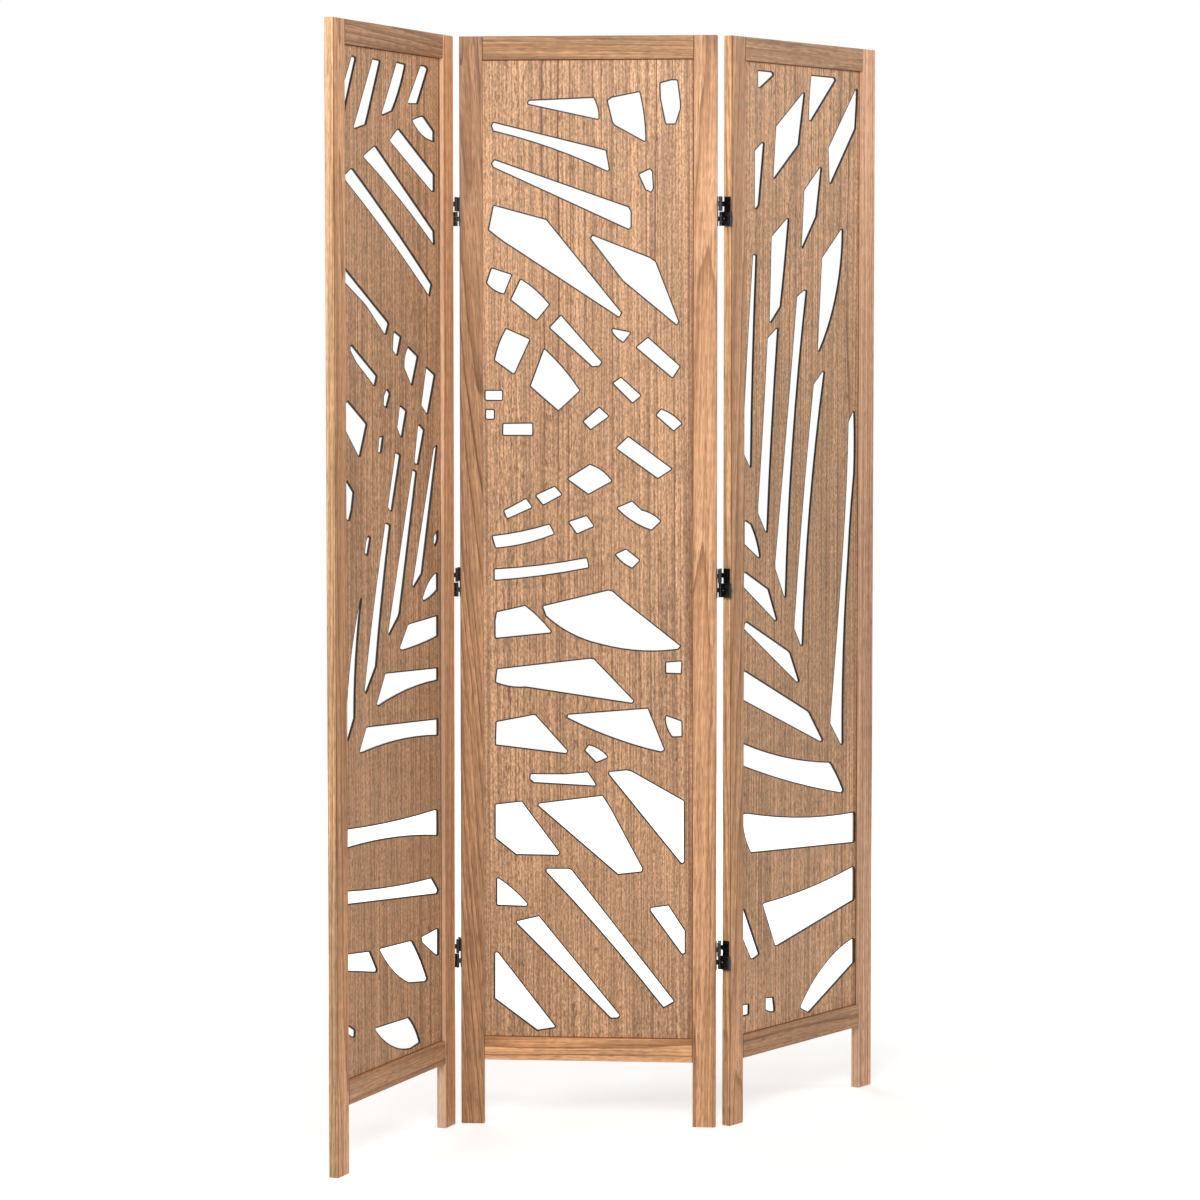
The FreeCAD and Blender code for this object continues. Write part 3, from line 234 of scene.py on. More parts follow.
class FretSettings(bpy.types.PropertyGroup):
    """Carved sheets"""

    rim: length("Rim rounding", "Width of the burnt chamfer along a cut", 0.25)
    scorch: length("Scorch width", "Width of the scorched strip beside a cut", 2.4)
    # Painted shade: the dark groove line stands for the shade where the sheet meets the frame
    joint: length("Groove line", "Width of the dark line where the sheet enters its groove", 2.0)
    # Painted shadow: how far beside the right stile's groove the sheet is darkened as the stile's shadow
    stile_shadow_reach: length("Stain reach", "How far stain has run from the right stile's groove", 16.0)
    ring_width: length("Ring width", "Distance between the dark lines of the veneer", 17.0)
    early_wood: colour("Early wood", "Stained colour of the veneer's early wood", "#CFA782")
    late_wood: colour("Late wood", "Stained colour of the veneer's late wood", "#A87A56")
    pore: colour("Pores", "Colour of the stain that gathers in the pores", "#64381C")
    char: colour("Char", "Colour of the burnt cut", "#140C08")
    roughness: share("Roughness", "Roughness of the satin lacquer", 0.55)


class HingeSettings(bpy.types.PropertyGroup):
    """Leaves and straps of the hinges"""

    edge: length("Edge rounding", "Radius of the edges of the pressed steel", 0.2)
    enamel: colour("Enamel", "Colour of the baked enamel", "#0E0D0D")
    roughness: share("Roughness", "Roughness of the enamel", 0.24)


class FixingSettings(bpy.types.PropertyGroup):
    """Hinge screws, hinge pins and dowels"""

    head_diameter: length("Head diameter", "Diameter of a screw's head", 5.4)
    head_height: length("Head height", "Height of the countersink", 1.2)
    head_rise: length("Head rise", "How far the head's crown stands above its seat", 0.35)
    shank_diameter: length("Shank diameter", "Diameter of a screw's shank", 3.0)
    point_length: length("Point length", "Length of a screw's point", 3.0)
    recess_length: length("Recess length", "Length of the cross recess", 3.0)
    recess_width: length("Recess width", "Width of the cross recess", 0.6)
    recess_depth: length("Recess depth", "Depth of the cross recess", 0.9)
    pin_diameter: length("Pin diameter", "Diameter of a hinge pin", 2.0)
    pin_chamfer: length("Pin chamfer", "Chamfer at the ends of a hinge pin", 0.3)
    screw_steel: colour("Screw steel", "Colour of the blackened screws", "#2B2A2C")
    pin_steel: colour("Pin steel", "Colour of the oiled pins", "#6E6A66")
    beech: colour("Beech", "Colour of the dowels", "#D9B48C")
    roughness: share("Roughness", "Roughness of the steel", 0.34)


class StageSettings(bpy.types.PropertyGroup):
    """Floor, light and camera"""

    floor_size: FloatProperty(name="Floor size", description="Length of a side of the floor",
                              default=9.0, min=1, subtype="DISTANCE", unit="LENGTH")
    floor: colour("Floor", "Colour of the floor", "#E6E4E1")
    shadow_reach: FloatProperty(name="Shadow reach",
                                description="How far from the screen its shadow fades",
                                default=1.5, min=0, subtype="DISTANCE", unit="LENGTH")
    floor_lift: share("Floor lift", "How much of the floor's white shows whatever falls on it", 0.55)
    sky: share("Soft light", "Strength of the light from all round", 0.19)
    key_power: power("Key lamp", "Power of the large lamp in front", 62.0)
    left_power: power("Left lamp", "Power of the tall lamp on the left", 28.0)
    right_power: power("Right lamp", "Power of the tall lamp on the right", 15.0)
    back_power: power("Back lamp", "Power of the large lamp behind", 42.0)
    lens: FloatProperty(name="Lens", description="Focal length of the camera", default=110.25,
                        min=1, unit="CAMERA")


# Reading the frame


def panel_of(node):
    """Name of the panel that a node's board coordinates follow."""
    return next(panel for panel in PANELS if node.startswith(panel))


def panel_turn(panel):
    """Turn from the frame to a panel's own axes: X across it, Y from front to back, Z up."""
    # A fold's low limit is where its panel lies in line with the middle one
    folds = {joint["child"]: -joint["range_deg"][0] for joint in frame["joints"]}
    return Matrix.Rotation(-math.radians(folds.get(panel, 0)), 3, "Z")


def body_of(node):
    """Name of the body that a node rides on."""
    bodies = frame["record"]["behaviour"]["bodies"]
    return next(body for body, nodes in bodies.items() if node in nodes)


def merged(node):
    """Mesh of a node with its triangles joined to each other."""
    source = frame["nodes"][node].data
    bm = bmesh.new()
    verts = [bm.verts.new(vertex.co) for vertex in source.vertices]
    for polygon in source.polygons:
        bm.faces.new([verts[index] for index in polygon.vertices])
    bmesh.ops.remove_doubles(bm, verts=bm.verts, dist=MERGE_DISTANCE)
    return bm


def flattened(node):
    """Mesh of a node with the triangles of each flat face made one."""
    bm = merged(node)
    bmesh.ops.dissolve_limit(bm, angle_limit=FLAT_ANGLE, verts=bm.verts, edges=bm.edges)
    return bm


def new_object(name, data):
    """Object in the scene that shows some data."""
    made = bpy.data.objects.new(name, data)
    bpy.context.scene.collection.objects.link(made)
    return made


def finished(bm, node, material):
    """Piece made of a mesh, riding where the node that it stands for rides."""
    mesh = bpy.data.meshes.new(f"finished_{node}")
    bm.to_mesh(mesh)
    bm.free()
    mesh.materials.append(material)
    piece = new_object(f"finished_{node}", mesh)
    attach(piece, body_of(node))
    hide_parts(node)
    return piece


def islands(bm):
    """Groups of vertices that are joined to each other."""
    groups = []
    seen = set()
    for first in bm.verts:
        if first in seen:
            continue
        group = []
        waiting = [first]
        seen.add(first)
        while waiting:
            vert = waiting.pop()
            group.append(vert.co.copy())
            for edge in vert.link_edges:
                other = edge.other_vert(vert)
                if other not in seen:
                    seen.add(other)
                    waiting.append(other)
        groups.append(group)
    return groups


# Nodes of materials and of geometry


def add(tree, kind, links=None, **settings):
    """Node of a kind with its settings, and with its inputs set or linked.

    A node given to an input is linked by its first output in use, and a list entry by entry.
    """
    node = tree.nodes.new(kind)
    for name, setting in settings.items():
        setattr(node, name, setting)
    for socket, given in (links or {}).items():
        for entry in given if isinstance(given, list) else [given]:
            if isinstance(entry, bpy.types.Node):
                entry = next(output for output in entry.outputs if output.enabled)
            if isinstance(entry, bpy.types.NodeSocket):
                tree.links.new(entry, node.inputs[socket])
            else:
                node.inputs[socket].default_value = entry
    return node


def new_material(name):
    """Material with an empty tree, and the tree."""
    material = bpy.data.materials.new(name)
    material.use_nodes = True
    material.node_tree.nodes.clear()
    return material, material.node_tree


def opaque(rgb):
    """Colour with an alpha of one."""
    return (*rgb, 1.0)


# Materials


def stained_wood(name, look, grain):
    """Paulownia, planed or sliced, stained honey brown and lacquered satin.

    It is a soft ring-porous wood: wide pale rings end in a darker line, and the stain gathers in
    the open pores as short dashes along the grain. The thin lacquer leaves a low sheen.
    """
    material, tree = new_material(name)
    place = add(tree, "ShaderNodeAttribute", attribute_name=LOG_PLACE).outputs["Vector"]
    parts = []
    for attribute in (SHADES, CHARACTER, ENDS, SIDES_OF_BOARD):
        whole = add(tree, "ShaderNodeAttribute", attribute_name=attribute).outputs["Vector"]
        parts.extend(add(tree, "ShaderNodeSeparateXYZ", {0: whole}).outputs)
    (low_shade, middle_shade, high_shade, red, edge_shade, figure,
     low_gap, high_gap, along, left_gap, right_gap, on_edge) = parts

    # Fibres and pores are 0.1 to 0.3 mm wide; their cells are drawn 2 to 3 mm wide, so that they show
    noise = {}
    for title, cell, detail in (("bend", grain.bend_cell, 2), ("streak", grain.streak_cell, 3),
                                ("speckle", grain.speckle_cell, 2), ("pore", grain.pore_cell, 1),
                                ("drift", DRIFT_CELL, 2), ("ripple", RIPPLE_CELL, 1)):
        cells = add(tree, "ShaderNodeVectorMath", {0: place, 1: metres(cell)}, operation="DIVIDE")
        noise[title] = add(tree, "ShaderNodeTexNoise", {"Vector": cells, "Scale": 1.0,
                                                        "Detail": detail})

    # Rings round the heart of the log, bent by slow changes of its growth, with uneven years
    outward = add(tree, "ShaderNodeVectorMath", {0: place, 1: (0, 1, 1)}, operation="MULTIPLY")
    radius = add(tree, "ShaderNodeVectorMath", {0: outward}, operation="LENGTH")
    bent = add(tree, "ShaderNodeMath", {0: noise["bend"], 1: grain.bend * MM, 2: radius},
               operation="MULTIPLY_ADD")
    even = add(tree, "ShaderNodeMath", {0: bent, 1: look.ring_width}, operation="DIVIDE")
    spread = add(tree, "ShaderNodeTexNoise", {"W": even, "Scale": 0.45, "Detail": 1.0},
                 noise_dimensions="1D")
    years = add(tree, "ShaderNodeMath", {0: spread, 1: UNEVEN_YEARS, 2: even}, operation="MULTIPLY_ADD")
    year = add(tree, "ShaderNodeMath", {0: years}, operation="FRACT")
    count = add(tree, "ShaderNodeMath", {0: years}, operation="FLOOR")
    vigour = add(tree, "ShaderNodeTexWhiteNoise", {"W": count}, noise_dimensions="1D")

    # Late wood darkens through the year and ends in a line, stronger in some years than in others
    late = add(tree, "ShaderNodeMapRange", {"Value": year, "From Min": 0.1, "To Max": grain.lead},
               interpolation_type="SMOOTHSTEP")
    rise = add(tree, "ShaderNodeMapRange", {"Value": year, "From Min": grain.line_start,
                                            "From Max": 0.96}, interpolation_type="SMOOTHSTEP")
    fall = add(tree, "ShaderNodeMapRange", {"Value": year, "From Min": 1.0, "From Max": 0.97},
               interpolation_type="SMOOTHSTEP")
    strength = add(tree, "ShaderNodeMapRange", {"Value": vigour, "To Min": 0.2, "To Max": grain.line})
    line = rise
    for factor in (fall, strength, figure):
        line = add(tree, "ShaderNodeMath", {0: line, 1: factor}, operation="MULTIPLY")

    # Pores are most open early in the year
    openness = add(tree, "ShaderNodeMapRange", {"Value": year, "From Min": 0.45, "From Max": 0.0,
                                                "To Min": grain.pores / 2, "To Max": grain.pores})
    pores = add(tree, "ShaderNodeMapRange", {"Value": noise["pore"], "From Min": 0.52, "From Max": 0.66,
                                             "To Max": openness}, interpolation_type="SMOOTHSTEP")
    wood = opaque(look.early_wood)
    for factor, paint in ((late, look.late_wood), (line, look.pore), (pores, look.pore)):
        wood = add(tree, "ShaderNodeMix", {"Factor": factor, "A": wood, "B": opaque(paint)},
                   data_type="RGBA")

    # The board's lightness along it, partly its own tone and partly painted light and sheen, with
    # streaks, speckles, slow drift of the stain and ripple across it
    low_half = add(tree, "ShaderNodeMapRange", {"Value": along, "From Max": 0.5, "To Min": low_shade,
                                                "To Max": middle_shade}, interpolation_type="SMOOTHSTEP")
    shade = add(tree, "ShaderNodeMapRange", {"Value": along, "From Min": 0.5, "To Min": low_half,
                                             "To Max": high_shade}, interpolation_type="SMOOTHSTEP")
    # Painted light in part: on its outer edge the board takes that edge's lightness, which grows towards the top
    edge = add(tree, "ShaderNodeMapRange", {"Value": on_edge, "From Min": 0.6, "From Max": 0.85})
    shade = add(tree, "ShaderNodeMix", {"Factor": edge, "A": shade, "B": edge_shade})
    for title, depth in (("streak", grain.streak), ("speckle", grain.speckle), ("drift", DRIFT),
                         ("ripple", RIPPLE)):
        tone = add(tree, "ShaderNodeMapRange", {
            "Value": noise[title], "From Min": 0.32, "From Max": 0.68, "To Min": 1 - depth,
            "To Max": 1 + depth}, interpolation_type="SMOOTHSTEP")
        shade = add(tree, "ShaderNodeMath", {0: shade, 1: tone}, operation="MULTIPLY")

    # A board leans from golden to reddish, and its planed outer edge has a tone of its own, made
    # paler in part as painted sheen
    lean = opaque(GOLDEN_LEAN)
    for factor, tint in ((red, REDDISH_LEAN), (edge, EDGE_LEAN)):
        lean = add(tree, "ShaderNodeMix", {"Factor": factor, "A": lean, "B": opaque(tint)},
                   data_type="RGBA")
    toned = add(tree, "ShaderNodeVectorMath", {0: wood, 1: lean}, operation="MULTIPLY")
    toned = add(tree, "ShaderNodeVectorMath", {0: toned, "Scale": shade}, operation="SCALE")

    # Dark lines where a rail meets a stile and along a left stile's outer arris, and a painted shade
    # line where a sheet enters its groove: under the top rail, above the bottom rail and beside the
    # right stile
    gap = low_gap
    for other in (high_gap, left_gap, right_gap):
        gap = add(tree, "ShaderNodeMath", {0: gap, 1: other}, operation="MINIMUM")
    dark_line_and_shade = add(tree, "ShaderNodeMapRange", {"Value": gap, "From Min": look.joint,
                                            "From Max": look.joint * LINE_CORE, "To Max": 0.9},
               interpolation_type="SMOOTHSTEP")
    off_edge = add(tree, "ShaderNodeMath", {0: 1.0, 1: edge}, operation="SUBTRACT")
    dark_line_and_shade = add(tree, "ShaderNodeMath", {0: dark_line_and_shade, 1: off_edge}, operation="MULTIPLY")
    marks = [(dark_line_and_shade, look.pore)]
    if grain.scorched:
        # Painted shadow of the right stile: the veneer beside it is darkened in streaks along the fibres
        stile_shadow_fade = add(tree, "ShaderNodeMapRange", {"Value": right_gap, "From Min": look.stile_shadow_reach,
                                                "From Max": look.joint}, interpolation_type="SMOOTHSTEP")
        run = add(tree, "ShaderNodeMapRange", {"Value": noise["streak"], "From Min": 0.62,
                                               "From Max": 0.45, "To Max": 0.5})
        run = add(tree, "ShaderNodeMath", {0: stile_shadow_fade, 1: run}, operation="MULTIPLY")
        marks.append((run, look.pore))
        # The beam that cuts the sheet chars the cut and browns a thin line beside it
        scorch = add(tree, "ShaderNodeAttribute", attribute_name=SCORCH).outputs["Fac"]
        burnt = add(tree, "ShaderNodeMapRange", {"Value": scorch, "From Min": 0.1, "From Max": 0.45},
                    interpolation_type="SMOOTHSTEP")
        marks.append((burnt, look.char))
    else:
        # Painted highlight: a stile's inner arris and inner face are made paler
        painted_highlight = add(tree, "ShaderNodeMapRange", {"Value": on_edge, "From Max": -0.5, "To Max": 0.35})
        marks.append((painted_highlight, look.painted_highlight))
    for factor, paint in marks:
        toned = add(tree, "ShaderNodeMix", {"Factor": factor, "A": toned, "B": opaque(paint)},
                    data_type="RGBA")

    relief = add(tree, "ShaderNodeMath", {0: noise["streak"], 1: 0.5}, operation="MULTIPLY")
    relief = add(tree, "ShaderNodeMath", {0: relief, 1: pores}, operation="SUBTRACT")
    bump = add(tree, "ShaderNodeBump", {"Height": relief, "Strength": 0.6, "Distance": 0.25 * MM})
    satin = add(tree, "ShaderNodeMapRange", {
        "Value": noise["streak"], "From Min": 0.2, "From Max": 0.8,
        "To Min": look.roughness - 0.06, "To Max": look.roughness + 0.08})
    shader = add(tree, "ShaderNodeBsdfPrincipled", {
        "Base Color": toned, "Normal": bump, "Roughness": satin, "Specular IOR Level": 0.3,
        "Coat Weight": 0.12, "Coat Roughness": 0.4})
    add(tree, "ShaderNodeOutputMaterial", {"Surface": shader})
    return material


def baked_enamel(name, look):
    """Pressed steel with baked black enamel.

    It is glossy and nearly black, with the faint orange peel of a sprayed coat and a little dust.
    """
    material, tree = new_material(name)
    place = add(tree, "ShaderNodeTexCoord").outputs["Object"]
    peel = add(tree, "ShaderNodeTexNoise", {"Vector": place, "Scale": 1 / PEEL_CELL})
    dust = add(tree, "ShaderNodeTexNoise", {"Vector": place, "Scale": 1 / DUST_CELL, "Detail": 3.0})
    dull = add(tree, "ShaderNodeMapRange", {"Value": dust, "From Min": 0.3, "From Max": 0.8,
                                            "To Min": look.roughness, "To Max": look.roughness + 0.16})
    dusty = tuple(channel * DUST_FACTOR + DUST_ADDED for channel in look.enamel)
    patches = add(tree, "ShaderNodeMapRange", {"Value": dust, "From Min": 0.5, "From Max": 0.75})
    paint = add(tree, "ShaderNodeMix", {"Factor": patches, "A": opaque(look.enamel), "B": opaque(dusty)},
                data_type="RGBA")
    bump = add(tree, "ShaderNodeBump", {"Height": peel, "Strength": 0.25, "Distance": 0.1 * MM})
    shader = add(tree, "ShaderNodeBsdfPrincipled", {"Base Color": paint, "Roughness": dull,
                                                    "Normal": bump})
    add(tree, "ShaderNodeOutputMaterial", {"Surface": shader})
    return material


def worked_steel(name, steel, roughness):
    """Steel, turned or rolled, then blackened or oiled: a dark metal with fine uneven polish."""
    material, tree = new_material(name)
    place = add(tree, "ShaderNodeTexCoord").outputs["Object"]
    polish = add(tree, "ShaderNodeTexNoise", {"Vector": place, "Scale": 1 / POLISH_CELL,
                                              "Detail": 3.0})
    rough = add(tree, "ShaderNodeMapRange", {"Value": polish, "From Min": 0.3, "From Max": 0.7,
                                             "To Min": roughness - 0.05, "To Max": roughness + 0.12})
    worn = add(tree, "ShaderNodeMapRange", {"Value": polish, "From Min": 0.45, "From Max": 0.8})
    bright = opaque(channel * WEAR_FACTOR for channel in steel)
    base = add(tree, "ShaderNodeMix", {"Factor": worn, "A": opaque(steel), "B": bright}, data_type="RGBA")
    bump = add(tree, "ShaderNodeBump", {"Height": polish, "Strength": 0.2, "Distance": 0.05 * MM})
    shader = add(tree, "ShaderNodeBsdfPrincipled", {"Base Color": base, "Metallic": 1.0,
                                                    "Roughness": rough, "Normal": bump})
    add(tree, "ShaderNodeOutputMaterial", {"Surface": shader})
    return material


def turned_beech(name, wood):
    """Beech, turned to dowels: pale and close-grained, with small dark flecks."""
    material, tree = new_material(name)
    place = add(tree, "ShaderNodeTexCoord").outputs["Object"]
    grain = add(tree, "ShaderNodeTexNoise", {"Vector": place, "Scale": 1 / BEECH_CELL, "Detail": 3.0})
    spots = add(tree, "ShaderNodeTexNoise", {"Vector": place, "Scale": 1 / FLECK_CELL})
    fleck = add(tree, "ShaderNodeMapRange", {"Value": spots, "From Min": 0.6, "From Max": 0.7,
                                             "To Max": 0.4})
    base = opaque(wood)
    for factor, share_left in ((grain, GRAIN_SHARE), (fleck, FLECK_SHARE)):
        darker = opaque(channel * share_left for channel in wood)
        base = add(tree, "ShaderNodeMix", {"Factor": factor, "A": base, "B": darker}, data_type="RGBA")
    shader = add(tree, "ShaderNodeBsdfPrincipled", {"Base Color": base, "Roughness": 0.6})
    add(tree, "ShaderNodeOutputMaterial", {"Surface": shader})
    return material


def seen_directly(tree):
    """One for the camera and for what gloss and glass show of a surface, otherwise zero."""
    light = add(tree, "ShaderNodeLightPath").outputs
    mirrored = add(tree, "ShaderNodeMath", {0: light["Is Glossy Ray"], 1: light["Is Transmission Ray"]},
                   operation="MAXIMUM")
    return add(tree, "ShaderNodeMath", {0: light["Is Camera Ray"], 1: mirrored}, operation="MAXIMUM")


def pale_floor(name, look):
    """Matt painted floor. Near the screen the camera sees its shadow, and further off plain white."""
    material, tree = new_material(name)
    place = add(tree, "ShaderNodeTexCoord").outputs["Object"]
    matt = add(tree, "ShaderNodeBsdfDiffuse", {"Color": opaque(look.floor)})
    away = add(tree, "ShaderNodeVectorMath", {0: place}, operation="LENGTH")
    lift = add(tree, "ShaderNodeMapRange", {
        "Value": away, "From Min": look.shadow_reach * 0.5, "From Max": look.shadow_reach,
        "To Min": look.floor_lift, "To Max": 1.0}, interpolation_type="SMOOTHSTEP")
    glow = add(tree, "ShaderNodeMath", {0: seen_directly(tree), 1: lift}, operation="MULTIPLY")
    white = add(tree, "ShaderNodeEmission", {"Color": (1, 1, 1, 1), "Strength": glow})
    both = add(tree, "ShaderNodeAddShader", {0: matt, 1: white})
    add(tree, "ShaderNodeOutputMaterial", {"Surface": both})
    return material


# Boards and sheets


def local_box(turn, points):
    """Lowest and highest corner of points in a panel's own axes."""
    turned = [turn @ point for point in points]
    low = Vector([min(point[axis] for point in turned) for axis in range(3)])
    high = Vector([max(point[axis] for point in turned) for axis in range(3)])
    return low, high


def arrises(bm, turn, low, high):
    """Edges where two outer planes of a board meet."""
    planes = {}
    for vert in bm.verts:
        place = turn @ vert.co
        planes[vert] = {(axis, side) for axis in range(3) for side, corner in enumerate((low, high))
                        if abs(place[axis] - corner[axis]) < ON_PLANE}
    return [edge for edge in bm.edges if len(planes[edge.verts[0]] & planes[edge.verts[1]]) == 2]


def mark_board(piece, node, turn, low, high, gap_low, gap_high):
    """Give a board's vertices their place in the log, their gaps to its joints and its character.

    The gaps run from the low and the high corner of the box between the joints.
    """
    cut = CUTS[node]
    middle = (low + high) / 2
    along_axis, across_axis = (0, 2) if "rail" in node else (2, 0)
    outer, inner = (low[0], high[0]) if node.endswith("left_stile") else (high[0], low[0])
    names = (LOG_PLACE, SHADES, CHARACTER, ENDS, SIDES_OF_BOARD)
    for name in names:
        piece.data.attributes.new(name, "FLOAT_VECTOR", "POINT")
    layers = {name: piece.data.attributes[name].data for name in names}
    shift = list(CUTS).index(node) * LOG_STEP
    for index, vertex in enumerate(piece.data.vertices):
        point = turn @ vertex.co
        place = point - middle
        along = place[along_axis]
        layers[LOG_PLACE][index].vector = (
            along + shift,
            place[across_axis] - cut.across * MM + along * cut.slope * MM,
            place[1] - cut.deep * MM + along * cut.slope * MM / 2)
        layers[SHADES][index].vector = cut.shades
        high_share = (point[along_axis] - low[along_axis]) / (high[along_axis] - low[along_axis])
        edge, figure = (ends[0] + (ends[1] - ends[0]) * high_share for ends in (cut.edge, cut.figure))
        layers[CHARACTER][index].vector = (cut.red, edge, figure)
        layers[ENDS][index].vector = (point[2] - gap_low[2], gap_high[2] - point[2], high_share)
        # Over the outer arris this runs from 0 at the face to 1 at the edge, over the inner one to -1
        on_edge = 0
        if node.endswith("stile"):
            depth = min(1, (point[1] - low[1]) / ON_ARRIS, (high[1] - point[1]) / ON_ARRIS)
            near_outer, near_inner = (abs(point[0] - side) < ON_ARRIS for side in (outer, inner))
            on_edge = depth * (near_outer - near_inner)
        layers[SIDES_OF_BOARD][index].vector = (point[0] - gap_low[0], gap_high[0] - point[0], on_edge)


def board_box(node, turn):
    """Lowest and highest corner of a node of the frame in a panel's own axes."""
    return local_box(turn, [vertex.co for vertex in frame["nodes"][node].data.vertices])


def groove_shade_lines(panel, turn):
    """Corners between which a sheet's painted shade lines lie, in the panel's own axes.

    They lie above the bottom rail, below the top rail and beside the right stile, so the corners'
    left side lies far off.
    """
    right = board_box(f"{panel}_right_stile", turn)[0][0]
    bottom = board_box(f"{panel}_bottom_rail", turn)[1][2]
    top = board_box(f"{panel}_top_rail", turn)[0][2]
    return Vector((right - FAR, 0, bottom)), Vector((right, 0, top))


def make_board(node, look, material):
    """Stile or rail with its arrises sanded round."""
    bm = flattened(node)
    turn = panel_turn(panel_of(node))
    low, high = local_box(turn, [vert.co for vert in bm.verts])
    bmesh.ops.bevel(bm, geom=arrises(bm, turn, low, high), offset=look.arris,
                    segments=ARRIS_SEGMENTS, profile=0.5, affect="EDGES")
    # A rail has dark lines at its ends, where it meets the stiles, and a left stile at its outer arris
    upward = Vector((0, 0, FAR))
    sideways = Vector((FAR, 0, 0))
    gap_low = low - upward - (sideways if node.endswith("right_stile") else Vector())
    gap_high = high + upward + (sideways if node.endswith("stile") else Vector())
    piece = finished(bm, node, material)
    mark_board(piece, node, turn, low, high, gap_low, gap_high)


def make_fret(node, look, material):
    """Carved sheet with a burnt chamfer and a scorched strip along every cut."""
    bm = merged(node)
    turn = panel_turn(panel_of(node))
    low, high = local_box(turn, [vert.co for vert in bm.verts])
    scorch = bm.verts.layers.float.new(SCORCH)
    flats = []
    for plane in (low[1], high[1]):
        flats.append([face for face in bm.faces
                      if all(abs((turn @ vert.co)[1] - plane) < ON_PLANE for vert in face.verts)])
    walls = set(bm.faces).difference(*flats)
    for flat, plane in zip(flats, (low[1], high[1])):
        for width, char in ((look.rim, 1.0), (look.scorch, 0.0)):
            bmesh.ops.inset_region(bm, faces=flat, thickness=width, use_even_offset=False)
            for vert in {vert for face in flat for vert in face.verts}:
                place = turn @ vert.co
                vert.co = turn.inverted() @ Vector((place[0], plane, place[2]))
                vert[scorch] = char
    for vert in {vert for face in walls for vert in face.verts}:
        inward = look.rim if (turn @ vert.co)[1] < (low[1] + high[1]) / 2 else -look.rim
        vert.co += turn.inverted() @ Vector((0, inward, 0))
        vert[scorch] = 1.0
    piece = finished(bm, node, material)
    mark_board(piece, node, turn, low, high, *groove_shade_lines(panel_of(node), turn))


# Hinges and fixings


def make_hinge_part(node, look, material):
    """Leaf or strap with the edges of its pressed steel rounded."""
    piece = finished(flattened(node), node, material)
    bevel = piece.modifiers.new("Rounded edges", "BEVEL")
    bevel.width = look.edge
    bevel.segments = STEEL_SEGMENTS
    bevel.limit_method = "ANGLE"
    bevel.angle_limit = SHARP_ANGLE


def point_cloud(name, places, turns):
    """Mesh of bare points, each with its turn as an attribute."""
    mesh = bpy.data.meshes.new(name)
    mesh.from_pydata(places, [], [])
    attribute = mesh.attributes.new("turn", "FLOAT_VECTOR", "POINT")
    for index, turn in enumerate(turns):
        attribute.data[index].vector = turn
    return mesh


def new_geometry_tree(name, lengths):
    """Geometry tree that takes points, named lengths and a material."""
    tree = bpy.data.node_groups.new(name, "GeometryNodeTree")
    tree.interface.new_socket("Points", in_out="INPUT", socket_type="NodeSocketGeometry")
    for title in lengths:
        socket = tree.interface.new_socket(title, in_out="INPUT", socket_type="NodeSocketFloat")
        socket.subtype = "DISTANCE"
    tree.interface.new_socket("Finish", in_out="INPUT", socket_type="NodeSocketMaterial")
    tree.interface.new_socket("Pieces", in_out="OUTPUT", socket_type="NodeSocketGeometry")
    return tree, add(tree, "NodeGroupInput").outputs


def frustum(tree, bottom, top, height, foot):
    """Cone with a flat top, its foot at a height."""
    cone = add(tree, "GeometryNodeMeshCone", {"Vertices": ROUND_VERTICES, "Radius Bottom": bottom,
                                              "Radius Top": top, "Depth": height}, fill_type="NGON")
    lift = add(tree, "ShaderNodeCombineXYZ", {2: foot})
    return add(tree, "GeometryNodeTransform", {"Geometry": cone, "Translation": lift})


def place_copies(tree, given, part):
    """Put a copy of a part on each point and end the tree."""
    turn = add(tree, "GeometryNodeInputNamedAttribute", {"Name": "turn"}, data_type="FLOAT_VECTOR")
    copies = add(tree, "GeometryNodeInstanceOnPoints", {"Points": given["Points"], "Instance": part,
                                                        "Rotation": turn})
    real = add(tree, "GeometryNodeRealizeInstances", {"Geometry": copies})
    done = add(tree, "GeometryNodeSetMaterial", {"Geometry": real, "Material": given["Finish"]})
    add(tree, "NodeGroupOutput", {0: done})


